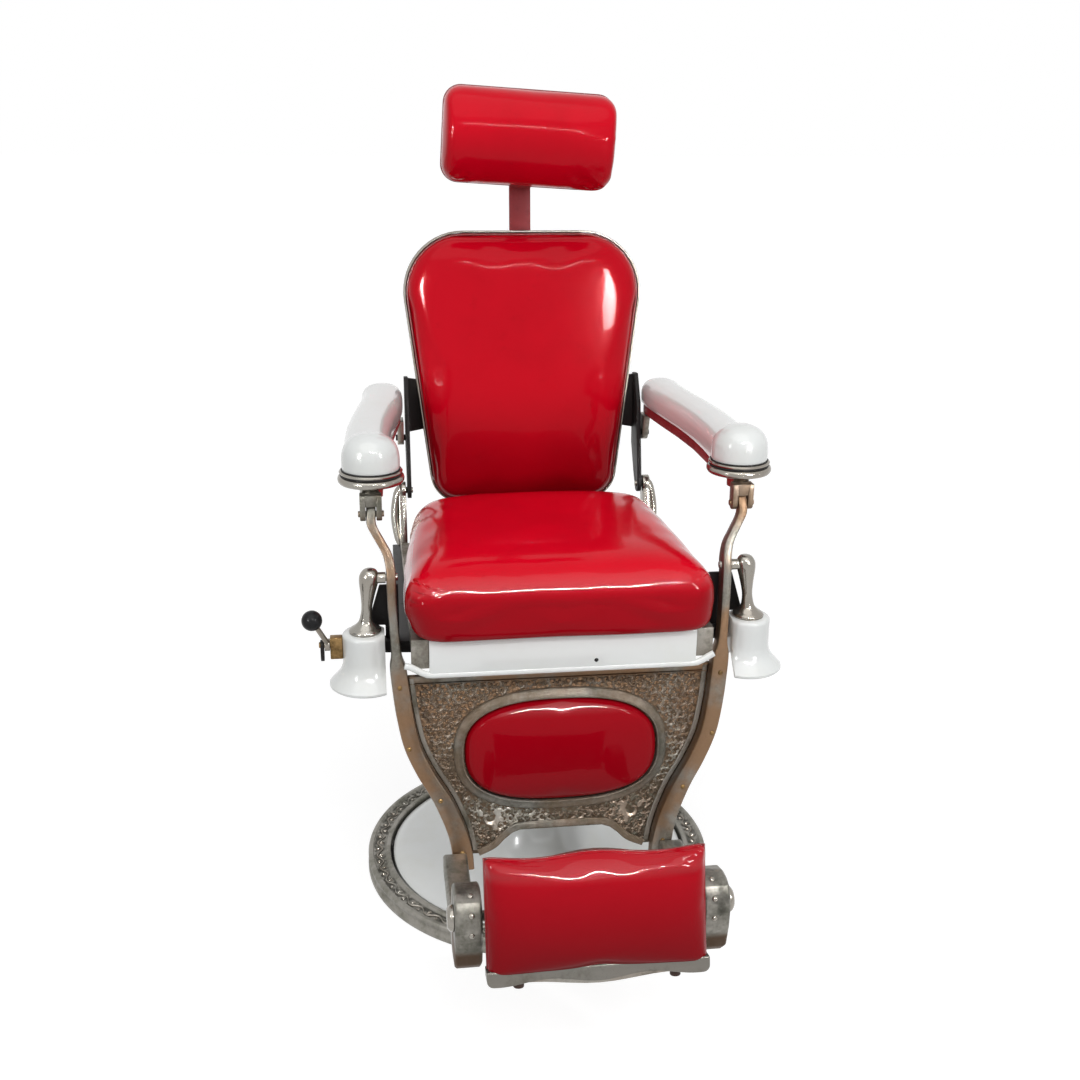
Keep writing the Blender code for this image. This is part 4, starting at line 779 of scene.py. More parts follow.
def puff(obj, matrix, form, pressure, frames=14):
    """Swells a cover as cloth over its filling, with its seat on the board held."""
    start = [v.co.copy() for v in obj.data.vertices]
    inverse = matrix.inverted()
    held = obj.vertex_groups.new(name="held")
    for vertex in obj.data.vertices:
        lift = (inverse @ vertex.co).z / form.thick
        held.add([vertex.index], 1.0 if lift < 0.15 else max(0.0, 0.5 - lift), "REPLACE")
    cloth = obj.modifiers.new("Cover", "CLOTH")
    cloth.settings.use_pressure = True
    cloth.settings.uniform_pressure_force = pressure
    cloth.settings.effector_weights.gravity = 0
    cloth.settings.vertex_group_mass = "held"
    cloth.settings.tension_stiffness = 25
    cloth.settings.bending_stiffness = 2.0
    cloth.point_cache.frame_start, cloth.point_cache.frame_end = 1, frames
    scene = bpy.context.scene
    for number in range(1, frames + 1):
        scene.frame_set(number)
    apply_all(obj)
    scene.frame_set(1)
    cap = sizes().puff
    for vertex, first in zip(obj.data.vertices, start):
        move = vertex.co - first
        if move.length > cap:
            vertex.co = first + move * (cap / move.length)
    obj.vertex_groups.clear()


def push(obj, amount):
    """Moves each vertex along its normal by an amount of its place and normal."""
    start = [(v.co.copy(), v.normal.copy()) for v in obj.data.vertices]
    for vertex, (place, normal) in zip(obj.data.vertices, start):
        step = amount(place, normal)
        if step:
            vertex.co = place + normal * step


def crease(obj, spot, way, width, long, depth, waves):
    """Folds that run from a spot along a way and fade out."""
    way, spot = Vector(way).normalized(), Vector(spot)

    def fold(place, normal):
        arm = place - spot
        along = arm.dot(way)
        side = arm - way * along
        flat = side - normal * side.dot(normal)
        aside = flat.length
        if not -0.3 * long < along < long or aside > width:
            return 0.0
        fade = (1 - aside / width) ** 1.2 * (1 - abs(along / long)) ** 1.5
        sign = math.copysign(1, flat.dot(way.cross(normal)) or 1)
        return depth * fade * math.cos(math.pi * waves * sign * aside / width + 0.6)

    push(obj, fold)


def ripple(obj, depth, scale, seed):
    """Uneven filling under the cover."""
    shift = Vector((seed, seed * 0.7, 0))
    push(obj, lambda place, normal: depth * noise.noise(place * scale + shift))


def cover(name, node, form, matrix, folds=(), pressure=4.0):
    """An upholstered pad in a node's place."""
    obj = pad(name, form, matrix)
    puff(obj, matrix, form, pressure)
    skin = obj.modifiers.new("Skin", "SUBSURF")
    skin.levels = skin.render_levels = 1
    apply_all(obj)
    ripple(obj, 0.0009, 11.0, len(name))
    for fold in folds:
        crease(obj, *fold)
    take(obj)
    bpy.ops.object.shade_smooth()
    place_on(obj, node.split("_")[0] + "_vinyl", BODY_OF[node], node)
    return obj


def welt(name, outline, matrix, body, out, forward, more=0.0):
    """Piping round an outline."""
    radius = sizes().welt + more
    piping = moulding(name, outline, oval(radius, radius, 10, out, forward), matrix)
    place_on(piping, "welt", body, slot="red_vinyl", angle=80)


def fall(share, power):
    """1 in the middle, 0 at the edge."""
    return max(0.0, 1 - abs(share) ** power)


def hip(share, slope):
    """Rises from an edge to a flat top over a share of the half width."""
    return 1 - max(0.0, 1 - (1 - abs(share)) / slope) ** 1.8


def seat_cover():
    """The seat's pad, with folds at its corners and sides that swell."""
    def crown(x, y):
        one, two = hip(x, 0.50), hip(y, 0.55)
        low, gap = min(one, two), abs(one - two)
        droop = 0.020 * max(0.0, y) ** 2 * abs(x) ** 2
        return 0.026 * max(0.0, low - 0.06 * max(0.0, 1 - gap / 0.25) ** 2) * (1 - 0.10 * y) - droop

    inset = 0.001
    half, rear, long = SEAT_HALF - inset, SEAT_HALF - 0.022 - inset, SEAT_LONG - inset
    outline = rounded(mirrored([(half, -long, 0.046), (rear, long, 0.105)]))
    form = PadForm(outline, SEAT_HALF, SEAT_LONG, 0.094, 0.030, 0.020, crown)
    matrix = Matrix.Translation((0, SEAT_MIDDLE, SEAT_FLOOR + GAP))
    corner = SEAT_MIDDLE - SEAT_LONG + 0.022
    folds = (
        ((-0.222, corner, 0.690), (0.75, 0.55, 0.15), 0.034, 0.064, 0.0030, 5),
        ((0.215, corner, 0.690), (-0.75, 0.55, 0.15), 0.030, 0.055, 0.0022, 4),
        ((-0.190, 0.02, 0.705), (0.6, -0.8, 0.1), 0.050, 0.110, 0.0016, 2),
        ((0.185, 0.03, 0.705), (-0.6, -0.8, 0.1), 0.050, 0.100, 0.0018, 2),
        ((0.06, -0.03, 0.722), (-0.2, 1, 0), 0.045, 0.050, 0.0014, 1),
    )

    def swell(place, normal):
        aside = SEAT_SWELL_LEFT * max(0.0, -normal.x) + SEAT_SWELL_RIGHT * max(0.0, normal.x)
        height = min(1.0, max(0.0, (place.z - SEAT_FLOOR - 0.004) / 0.055))
        rear = min(1.0, max(0.0, (0.10 - place.y) / 0.20))
        return aside * height * height * (3 - 2 * height) * rear

    push(cover("seat_cover", "seat_cushion", form, matrix, folds), swell)


def back_outline(inset=0.0):
    """The back's outline, drawn in by an inset."""
    lean = (BACK_HALF_HIGH - BACK_HALF_LOW) / (BACK_HIGH - BACK_LOW)
    low = (BACK_HALF_LOW - inset + lean * inset, BACK_LOW + inset, 0.060 - inset)
    high = (BACK_HALF_HIGH - inset - lean * inset, BACK_HIGH - inset, 0.115 - inset)
    return rounded(mirrored([low, high]), 14)


def back_cover():
    """The back's pad within its rim, and its piping."""
    def crown(x, y):
        return 0.024 * fall(x * 0.86, 2.4) * fall(y, 2.6)

    inset = RIM_THICK + 0.0006
    middle, tall = (BACK_LOW + BACK_HIGH) / 2, (BACK_HIGH - BACK_LOW) / 2
    outline = [(x, h - middle) for x, h in back_outline(inset + 0.002)]
    form = PadForm(outline, 0.215, tall, 0.030, 0.022, 0.004, crown)
    matrix = BACK_FRAME @ Matrix.Translation((0, middle, GAP - BACK_FRONT))
    folds = (
        (BACK_FRAME @ Vector((0.13, 0.03, 0.02)), (-0.3, 0, 1), 0.05, 0.10, 0.0016, 2),
        (BACK_FRAME @ Vector((-0.16, 0.06, 0.02)), (0.35, 0, 1), 0.045, 0.09, 0.0014, 2),
    )
    cover("back_cover", "back_cushion", form, matrix, folds)
    welt("back_welt", back_outline(inset + 0.0030), BACK_FRAME, "back", 0.0, -BACK_FRONT + 0.0095, 0.0004)


def head_outline(inset):
    """The headrest's outline, drawn in by an inset."""
    half, tall = HEAD_HALF - inset, HEAD_HIGH - inset
    return rounded(mirrored([(half, -tall, 0.030), (half, tall, 0.030)]))


def head_cover():
    """The headrest's pad and its piping."""
    def crown(x, y):
        return 0.060 * (1 - 0.12 * abs(x) ** 6) * max(0.0, 1 - y * y) ** 0.62

    form = PadForm(head_outline(0.0005), HEAD_HALF, HEAD_HIGH, 0.021, 0.012, 0.005, crown)
    matrix = HEAD_FRAME @ Matrix.Translation((0, 0, GAP))
    folds = (
        (HEAD_FRAME @ Vector((0.112, -0.070, 0.040)), (-0.55, 0, 0.85), 0.042, 0.075, 0.0036, 4),
        (HEAD_FRAME @ Vector((-0.118, -0.068, 0.040)), (0.55, 0, 0.85), 0.035, 0.060, 0.0026, 3),
        (HEAD_FRAME @ Vector((0.13, 0.012, 0.070)), (-1, 0, 0), 0.018, 0.080, 0.0016, 1),
    )
    cover("headrest_cover", "headrest_cushion", form, matrix, folds)
    welt("headrest_welt", head_outline(0.0012), HEAD_FRAME, "headrest", 0.0, 0.0062)


def calf_cover():
    """The oval pad of the leg panel."""
    def crown(x, y):
        return 0.014 * fall(x, 4) * fall(y, 3)

    outline = stadium(OVAL_HALF - 0.0015, OVAL_HIGH - 0.0015)
    form = PadForm(outline, OVAL_HALF, OVAL_HIGH, 0.0135, 0.0125, 0.001, crown)
    matrix = LEG_FRAME @ Matrix.Translation((0, OVAL_MIDDLE, OVAL_FACE))
    cover("calf_cover", "calf_pad", form, matrix, pressure=2.0)


def tread_cover():
    """The footrest's pad, with its wavy upper edge."""
    def crown(x, y):
        return 0.014 * fall(x, 5) * fall(y, 2.6)

    inset = 0.001
    low, high = TREAD_LOW + TREAD_LIP - 0.0105, TREAD_HIGH
    half, tall, middle = TREAD_HALF + 0.0040 - inset, (high - low) / 2, (low + high) / 2
    wave = [0.0030 * math.cos(abs(t) * 1.8 * math.pi) for t in TREAD_STEPS]
    top = [(half * t, tall - 0.0022 - inset + rise) for t, rise in zip(TREAD_STEPS, wave)]
    outline = [(-half, -tall), (half, -tall)] + top[::-1]
    form = PadForm(outline, TREAD_HALF, tall, 0.022, 0.017, 0.002, crown)
    matrix = TREAD_FRAME @ Matrix.Translation((0, middle, TREAD_FACE))
    folds = (
        (TREAD_FRAME @ Vector((0.12, 0.078, 0.07)), (-1, 0, 0.1), 0.026, 0.080, 0.0022, 2),
        (TREAD_FRAME @ Vector((-0.03, 0.058, 0.07)), (1, 0, 0.08), 0.020, 0.120, 0.0012, 1),
        (TREAD_FRAME @ Vector((-0.13, 0.080, 0.07)), (1, 0, -0.1), 0.020, 0.060, 0.0014, 2),
    )
    cover("footrest_cover", "footrest_pad", form, matrix, folds, 3.0)
    edge = [(x, y + middle) for x, y in outline]
    welt("footrest_welt", edge, TREAD_FRAME, "footrest", -0.0006, TREAD_FACE + 0.0022)


# Metal and porcelain

def footrest_frame():
    """The nickel back plate and the broad lip with its ogee lower edge."""
    casting("footrest_frame", "nickel", 0.0012, 2, 30)
    half, corner, top = TREAD_HALF + 0.0048, 0.010, TREAD_LOW + TREAD_LIP
    flat = half - corner
    low = [(flat * t, TREAD_LOW + 0.0074 - 0.0040 * math.cos(2.1 * math.pi * t)) for t in TREAD_STEPS]
    end = low[-1][1] + corner
    right = [(flat + corner * math.sin(a), end - corner * math.cos(a)) for a in (0.4, 0.8, 1.2, math.pi / 2)]
    left = [(-x, y) for x, y in reversed(right)]
    outline = left + low + right + [(half, top), (-half, top)]
    lip = plate("footrest_lip", outline, 0.0312, 0.0615, TREAD_FRAME, 0.0024, 3)
    place_on(lip, "lip", "footrest", slot="aged_nickel")


def rivet(name, spot, way, radius):
    """A domed rivet head."""
    dome = [(0.001, 0.55 * radius), (0.55 * radius, 0.46 * radius), (0.88 * radius, 0.24 * radius),
            (radius, 0.0)]
    profile = [(0, 0.56 * radius)] + profile_through(dome, 3) + [(radius, -0.001), (0, -0.001)]
    head = turn(name, profile, steps=18)
    head.data.transform(aimed(spot, way))
    return head


def apron_lip(x):
    """The height of the white lip, which turns up towards the rails."""
    run = max(0.0, abs(x) - APRON_HALF + 0.002) / (LIP_HALF - APRON_HALF + 0.002)
    return LIP_LOW + 0.0040 + 0.018 * run ** 2 * (3 - 2 * run)


def seat_apron():
    """The white front board, its turned-up lip and a screw."""
    face, low, top = SEAT_FRONT - 0.0158, LIP_LOW + 0.004, SEAT_FLOOR - GAP
    board = [(APRON_HALF, low), (APRON_HALF, top), (-APRON_HALF, top), (-APRON_HALF, low)]
    upright = Matrix.Translation((0, SEAT_FRONT - GAP, 0)) @ Matrix.Rotation(math.pi / 2, 4, "X")
    front = plate("apron_board", board, 0.0, 0.0155, upright, 0.0020, 3)
    count, span = 56, 2 * LIP_HALF - LIP_SHORT
    steps = [span * k / count - LIP_HALF for k in range(count + 1)]
    path = [Vector((x, face + 0.0038, apron_lip(x))) for x in steps]
    band = [(0.0050 * a, 0.0054 * power_of(b, 0.7)) for a, b in oval(1, 1, 16)]
    side = Vector((0, -1, 0))
    rings = []
    for i, here in enumerate(path):
        up = side.cross(heading(path, i))
        rings.append([here + side * a + up * b for a, b in band])
    whole = join([front, rings_mesh("apron_lip", rings)], "apron_glazed")
    # The apron's white is lightened porcelain, painted light against the seat's shade
    place_on(whole, "enamel", "seat", "seat_apron", angle=50)
    screw = rivet("apron_screw", Vector((0.052, face, LIP_LOW + 0.019)), (0, -1, 0), 0.0034)
    place_on(screw, "iron", "seat", slot="black_iron", angle=60)


def rail_line():
    """Heights from the pivot, sideways places, half widths and half depths down a leg rail."""
    out, foot = CLEVIS_X - RAIL_X, RAIL_X - RAIL_FOOT
    upper = ((110, 1, 6), (99, 1, 10.8), (81.5, 0.99, 11.5), (58, 0.57, 12), (36, 0.17, 13.5),
             (12, 0.01, 15.8))
    lower = ((-10, 1, 7.5), (-60, 0.99, 7.5), (-100, 0.97, 7.5), (-130, 0.952, 8.8), (-150, 0.935, 13.2),
             (-190, 0.897, 14), (-235, 0.842, 14), (-284, 0.742, 14.2), (-330, 0.552, 15),
             (-377, 0.302, 16.2), (-430, 0.098, 16.5), (-470, 0.012, 17.2), (-500, 0, 18.2))
    line = [(h / 1000, RAIL_X + share * out, 0.0075, deep / 1000) for h, share, deep in upper]
    for h, share, half in lower:
        line.append((h / 1000, RAIL_FOOT + share * foot, half / 1000, 0.0158 if h > -40 else 0.0140))
    return line


def rail_spots():
    """Places and half sizes on a smooth line down a leg rail."""
    line = rail_line()
    spots = through([(x, h, 0) for h, x, _, _ in line], 5)
    return zip(spots, through([(half, deep, 0) for _, _, half, deep in line], 5))


def rail_place(height):
    """How far aside a rail stands at a height from the pivot."""
    return between([(h, x) for h, x, _, _ in reversed(rail_line())], height)


def arch_at(x):
    """The lower edge of the leg panel."""
    return PANEL_ARCH + (between(ARCH, x) if x <= ARCH[-1][0] else 0.0)


def leg_rail(side, suffix):
    """A cast rail that sweeps from the clevis past the seat to the footrest."""
    rings = []
    for spot, (half, deep, _) in rail_spots():
        rise = CRANK_RUN / CRANK_RISE if spot.y > 0 else math.tan(LEG_TILT)
        front = Vector((0, -1, rise)).normalized()
        centre = Vector((side * spot.x, LEG_PIVOT.y + rise * spot.y, PIVOT_Z + spot.y))
        cut = min(0.0042, 0.45 * deep, 0.55 * half)
        turns = (0.0, 0.8, math.pi / 2)
        corner = [(half - cut * (1 - math.cos(a)), deep - cut * (1 - math.sin(a))) for a in turns]
        quarter = corner + [(-a, b) for a, b in reversed(corner)]
        ring = quarter + [(a, -b) for a, b in reversed(quarter)]
        rings.append([centre + Vector((a, 0, 0)) + front * b for a, b in ring])
    rail = rings_mesh("leg_rail_cast_" + suffix, rings)
    drill(rail, Vector((side * RAIL_X, LEG_PIVOT.y, PIVOT_Z)), 0.0065)
    drill(rail, Vector((side * CLEVIS_X, LEG_PIVOT.y + CRANK_RUN, PIVOT_Z + CRANK_RISE)), 0.0056)
    place_on(rail, "bronzed", "leg_frame", "leg_rail_" + suffix, angle=40)


def base_ring():
    """The round base with its sunk ornament band."""
    r, inner, top = RING_RADIUS, RING_INNER, RING_TOP
    profile = at(r, top, (-9.5, -0.2), (-5.5, 0), (-2.5, -1.2), (-0.5, -4.2), (-1.2, -8.5), (-3, -11))
    profile += at(r, 0, (-2.8, 12.5), (-0.6, 10.5), (0, 7.5), (0, 1), (-1, 0)) + at(inner, 0, (1, 0), (0, 1))
    profile += at(inner, top, (0, -2), (2, 0), (6.5, 0), (8.5, -1.5), (10.5, -4.5), (12.5, -5.2))
    profile += at(r, top, (-13.5, -5.2), (-11.8, -4.5))
    ring = turn("base_ring_casting", profile, steps=160, closed=True)
    place_on(ring, "ring", "base", "base_ring", angle=50)


def add_leaf(points, faces, heart, way, across, long, width, rise, up):
    """A small raised leaf with a ridge, added to lists of points and faces."""
    first = len(points)
    for a, b in ((-0.5, 0.0), (-0.15, 0.5), (0.2, 0.42), (0.55, 0.0), (0.2, -0.42), (-0.15, -0.5)):
        points.append(heart + way * (a * long) + across * (b * width))
    points.append(heart + way * (-0.22 * long) + up * rise)
    points.append(heart + way * (0.28 * long) + up * (0.8 * rise))
    corners = ((0, 1, 6), (1, 2, 7, 6), (2, 3, 7), (3, 4, 7), (4, 5, 6, 7), (5, 0, 6), (5, 4, 3, 2, 1, 0))
    faces += [tuple(first + k for k in face) for face in corners]


def base_vine():
    """A wavy stem with leaves in the ring's sunk band."""
    middle = (RING_INNER + RING_RADIUS) / 2 - 0.0005
    waves, rise = sizes().ring_waves, sizes().scroll_rise
    half, count, up = 0.0019, 10 * waves, Vector((0, 0, 1))
    floor = up * (RING_TOP - 0.0054)
    section = [(-half, 0.0), (-0.7 * half, 0.7 * rise), (0.0, rise), (0.7 * half, 0.7 * rise), (half, 0.0)]
    rings = []
    for angle in (2 * math.pi * k / count for k in range(count)):
        radius = middle + 0.0052 * math.sin(waves * angle)
        rings.append([ray(angle) * (radius + a) + floor + up * h for a, h in section])
    stem = rings_mesh("vine_stem", rings, closed=True)
    points, faces = [], []
    for k in range(2 * waves):
        side = 1 if k % 2 else -1
        out = ray(math.pi * (k + 0.5) / waves)
        across = Vector((-out.y, out.x, 0))
        heart = out * (middle + side * 0.0026) + floor
        add_leaf(points, faces, heart, -out * side, across, 0.0085, 0.0052, rise * 1.25, up)
        for sign in (1, -1):
            way = (across * sign - out * side * 0.4).normalized()
            root = heart + out * side * 0.0030
            add_leaf(points, faces, root, way, way.cross(up), 0.0072, 0.0036, rise, up)
    vine = join([stem, mesh_object("vine_leaves", points, faces)], "base_vine")
    place_on(face_out(vine), "nickel", "base", slot="aged_nickel", angle=60)


def pedestal():
    """The enamelled bell over the pump."""
    neck, top, edge = 0.085, 0.300, 0.2807
    sweep = at(neck, 0, (0, 205), (4, 160), (16, 115), (42, 78), (80, 55), (125, 42)) + at(edge, 0, (-20, 33))
    profile = at(neck, top, (-6, -2), (-3, 0), (0, -3)) + profile_through(sweep)
    profile += at(edge, 0, (-6, 29.5), (0, 24.5), (0, 12.4), (-6, 12.4), (-6, 20))
    profile += at(neck, 0, (20, 60), (-6, 200))
    bell = turn("pedestal_bell", profile, steps=96, closed=True)
    # The bell's white is lightened porcelain, painted light against its shade
    place_on(bell, "enamel", "base", "base_pedestal", angle=40)


def lift_ram():
    """The polished ram with its flange and its spigots."""
    profile = at(0, 0, (30, 545), (30, 462.5), (76, 462), (78, 460), (78, 448), (76, 446), (47, 446),
                 (45, 444), (45, 150), (18, 150), (18, 128))
    ram = turn("lift_ram_polished", profile)
    edit_all(ram)
    bpy.ops.mesh.select_all(action="DESELECT")
    bpy.ops.mesh.select_non_manifold()
    bpy.ops.mesh.edge_face_add()
    done_editing()
    place_on(face_out(ram), "bright", "lift", "lift_ram", angle=30)


def cut_off(obj, spot, way):
    """Cuts off what lies behind a plane, and closes the cut."""
    edit_all(obj)
    bpy.ops.mesh.bisect(plane_co=spot, plane_no=way, use_fill=True, clear_inner=True)
    done_editing()


def seat_bell(side, suffix):
    """A white bell beside the seat, flat towards the rail."""
    low, top, r, flare = BELL_LOW, BELL_TOP, BELL_RADIUS, 1000 * BELL_FLARE
    skirt = at(r, top, (0, -6)) + at(r, low, (0, 50), (0.06 * flare, 36), (0.28 * flare, 24))
    skirt += at(r, low, (0.72 * flare, 12), (flare, 5))
    profile = at(0, top, (0, 0)) + at(r, top, (-6, 0), (-2.5, -1), (-0.6, -3)) + profile_through(skirt)
    profile += at(r, low, (flare, 2), (flare - 2, 0), (flare - 6, 0), (0.3 * flare, 14), (-7, 40))
    profile += at(r, top, (-7, -10)) + at(0, top, (0, -8))
    bell = turn("seat_bell_glazed_" + suffix, profile, (side * BELL_X, BELL_Y), 72)
    cut_off(bell, (side * BELL_FLAT, 0, 0), (side, 0, 0))
    place_on(face_out(bell), "porcelain", "seat", "seat_bell_" + suffix, angle=40)


def baluster(side, suffix):
    """A turned standard that leans inwards, with its stud."""
    foot, z, lean = BELL_TOP + GAP, PIVOT_Z, 0.009
    vase = at(0, z, (5, 15.8), (10.5, 13.5), (15, 6), (15.7, -2), (14.5, -12), (11.5, -28), (8.8, -48))
    vase += at(0, foot, (9.2, 30), (12, 17.5), (19, 9.5))
    rim = at(0, foot, (20.5, 8.5), (23.5, 6.5), (25.8, 4.5), (26.2, 2.5), (25.5, 0), (0, 0))
    profile = at(0, z, (0, 16)) + profile_through(vase) + rim
    post = turn("baluster_turned_" + suffix, profile, (side * BELL_X, BELL_Y), 48)
    for vertex in post.data.vertices:
        vertex.co.x -= side * lean * (vertex.co.z - foot) / (z - foot)
    pin = at(0, 0, (0, 45.8), (5.2, 45.8), (6, 45), (6, 26.8), (9, 26.2), (9, 4), (0, 4))
    stud = turn("stud_" + suffix, pin, steps=32)
    spot = Matrix.Translation((side * (BELL_X - lean), BELL_Y, z))
    stud.data.transform(spot @ Matrix.Rotation(-side * math.pi / 2, 4, "Y"))
    whole = join([post, stud], "baluster_turned_" + suffix)
    place_on(whole, "bright", "seat", "baluster_" + suffix, angle=45)


def seat_shade_web(side, suffix):
    """A black iron web between the seat, the bell and the standard, behind the rail, which also paints the shade
    in the gap beside the seat.
    """
    inner = 0.2535 if side > 0 else 0.2625
    foot, top = SEAT_DECK + GAP, PIVOT_Z - 0.022
    step = BELL_TOP + 0.0008
    outline = [(inner, foot), (BELL_FLAT - 0.002, foot), (BELL_FLAT - 0.002, step), (BELL_X - 0.004, step),
               (BELL_FLAT + 0.006, top), (inner, top)]
    upright = Matrix(((side, 0, 0, 0), (0, 0, 1, BELL_Y), (0, 1, 0, 0), (0, 0, 0, 1)))
    web = plate("seat_shade_web_" + suffix, outline, 0.0220, 0.0290, upright)
    # Partly frame, partly painted shade: the black fills the dark gap between the rail and the seat
    place_on(face_out(web), "iron", "seat", slot="black_iron", angle=40)


def arm_top(side, suffix):
    """A white arm that curves back from its dome."""
    rear = ARM_PIVOT.x + 0.003 + ARM_HALF + 0.0015
    plan = ((1, DOME_Y), (1.132, -0.120), (1.076, -0.030), (0.774, 0.060), (0.321, 0.150),
            (0.038, 0.215), (0, 0.262))
    path = through([(side * (rear + share * (DOME_X - rear)), y, 0) for share, y in plan], 5)
    shares = ((0.90, 0), (0.985, 0.06), (1, 0.20), (1, 0.48), (0.955, 0.64), (0.83, 0.80), (0.66, 0.905),
              (0.44, 0.968), (0.22, 0.993))
    right = [(a * ARM_HALF, h * (ARM_HIGH - ARM_LOW)) for a, h in shares]
    section = right + [(0, ARM_HIGH - ARM_LOW)] + [(-a, h) for a, h in reversed(right)]
    scales = [(1, 1)] * len(path)
    tip = path[-1]
    for run, wide, tall in ((10, 0.95, 0.985), (16, 0.86, 0.95), (20.5, 0.72, 0.88), (23.5, 0.52, 0.78),
                            (24, 0.30, 0.66)):
        path.append(tip + Vector((0, run / 1000, 0)))
        scales.append((wide, tall))
    rings = []
    for i, (here, (wide, tall)) in enumerate(zip(path, scales)):
        ahead = heading(path, i)
        across = Vector((-ahead.y, ahead.x, 0)) * wide
        rings.append([here + across * a + Vector((0, 0, ARM_LOW + h * tall)) for a, h in section])
    arm = rings_mesh("arm_sweep_" + suffix, rings)
    cut_off(arm, (0, DOME_Y + 0.006, 0), (0, 1, 0))
    r = 1000 * DOME_RADIUS
    round_off = ((0.16, -0.2), (0.40, -2.2), (0.66, -7.8), (0.85, -16.5), (0.955, -27), (1, -40))
    curve = at(0, DOME_HIGH, *((share * r, drop) for share, drop in round_off)) + at(0, DOME_LOW, (r, 4))
    profile = at(0, DOME_HIGH, (0, 0)) + profile_through(curve, 3)
    profile += at(0, DOME_LOW, (r - 1, 0.5), (r - 3, 0), (0, 0))
    dome = turn("arm_dome_" + suffix, profile, (side * DOME_X, DOME_Y))
    whole = join([arm, dome], "arm_glazed_" + suffix)
    place_on(whole, "porcelain", BODY_OF["arm_top_" + suffix], "arm_top_" + suffix, angle=45)


def arm_ferrule(side, suffix):
    """The turned ferrule under the dome with its neck, and two black rings of painted shade, at the dome's base
    and in the groove.
    """
    top, r, body = DOME_LOW - GAP, FERRULE_RADIUS, BODY_OF["arm_foot_" + suffix]
    pin, middle = PIVOT_Z + CRANK_RISE, (side * DOME_X, DOME_Y)
    profile = at(0, top, (0, 0)) + at(
        r, top, (-7, 0), (-4.2, -0.6), (-2.6, -2.4), (-3.4, -4.4), (-6.2, -5.4), (-6.8, -6.6), (-6.4, -8),
        (-3, -8.8), (-0.8, -10.6), (0, -13.6), (-0.4, -17.2), (-2.4, -20), (-7, -21.4), (-16, -22.6))
    neck = at(0, top, (30, -23.8), (22.5, -26.8), (19, -33)) + at(0, pin, (18, 24))
    profile += profile_through(neck, 3) + at(0, pin, (0, 24))
    ferrule = turn("arm_ferrule_" + suffix, profile, middle, 72)
    place_on(ferrule, "bright", body, "arm_foot_" + suffix, angle=42)
    # Painted shade: black rings in the gap under the dome and in the ferrule's groove
    painted_shade_rings = []
    for radius, height, half in ((DOME_RADIUS + 0.0004, top + 0.0010, 0.0011),
                                 (r - 0.0052, top - 0.0066, 0.0018)):
        section = oval(half, -half, 10, radius, height)
        painted_shade_rings.append(turn("seam_" + suffix, section, middle, 72, closed=True))
    place_on(join(painted_shade_rings, "arm_shade_rings_" + suffix), "iron", body, slot="black_iron", angle=80)


def arm_fork(side, suffix):
    """The two cheeks under the ferrule that take the leg rail, and the bridge between them."""
    end = [0.0112 * ray(math.pi + math.pi * k / 12) for k in range(13)]
    cheek = [(p.x, p.y) for p in end] + at(0, 0, (12, 24), (10, 33), (-10, 33), (-12, 24))
    bridge = [(-0.0105, 0.0136), (0.0105, 0.0136), (0.0105, 0.0330), (-0.0105, 0.0330)]
    turned = Matrix(((0, 0, 1, side * CLEVIS_X), (1, 0, 0, LEG_PIVOT.y + CRANK_RUN),
                     (0, 1, 0, PIVOT_Z + CRANK_RISE), (0, 0, 0, 1)))
    sides = ((cheek, CHEEK_IN, CHEEK_OUT), (cheek, -CHEEK_OUT, -CHEEK_IN),
             (bridge, -CHEEK_IN - 0.002, CHEEK_IN + 0.002))
    fork = [plate("fork_" + suffix, outline, low, high, turned, 0.0014) for outline, low, high in sides]
    whole = join(fork, "arm_fork_" + suffix)
    place_on(whole, "clevis", BODY_OF["arm_foot_" + suffix], slot="aged_nickel", angle=40)


def hinge_link(side, suffix):
    """A bright half-round link that bows out over the hinge bracket."""
    low, high = (Vector(corner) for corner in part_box("back_hinge_" + suffix))
    outer = max(abs(low.x), abs(high.x))
    top, foot = HINGE.z + 0.010, low.z + 0.006
    rings = []
    for t in (k / 16 for k in range(17)):
        bow = math.sin(math.pi * t)
        girth = 0.35 + 0.65 * min(1.0, 4 * bow)
        aside, back = side * (outer + 0.010 * bow - 0.002), HINGE.y - 0.026 * t ** 1.5
        section = oval(0.0085 * girth, 0.0105 * girth, 14, aside, back)
        rings.append([(x, y, top + (foot - top) * t) for x, y in section])
    link = rings_mesh("hinge_link_" + suffix, rings)
    place_on(link, "bright", "seat", slot="aged_nickel", angle=60)


def surface_spot(node, start, way):
    """The first point of a node on a ray, and its normal."""
    mesh = NODES[node].data
    tree = BVHTree.FromPolygons([v.co for v in mesh.vertices], [tuple(f.vertices) for f in mesh.polygons])
    spot, normal, _, _ = tree.ray_cast(Vector(start), Vector(way))
    if spot is None:
        raise RuntimeError("nothing of " + node + " there")
    return spot, normal


def rail_rivets():
    """Brass rivets down the front of both rails."""
    heads = []
    for side, suffix in SIDES:
        for x, z in ((0.2655, 0.512), (0.2535, 0.408), (0.2045, 0.316), (0.1705, 0.222)):
            spot, normal = surface_spot("leg_rail_" + suffix, (side * x, -2.0, z), (0, 1, 0))
            heads.append(rivet("rivet_" + suffix, spot, normal, sizes().rivet))
    place_on(join(heads, "rail_rivets"), "brass", "leg_frame", slot=SLOT_OF["lever_bracket"], angle=60)


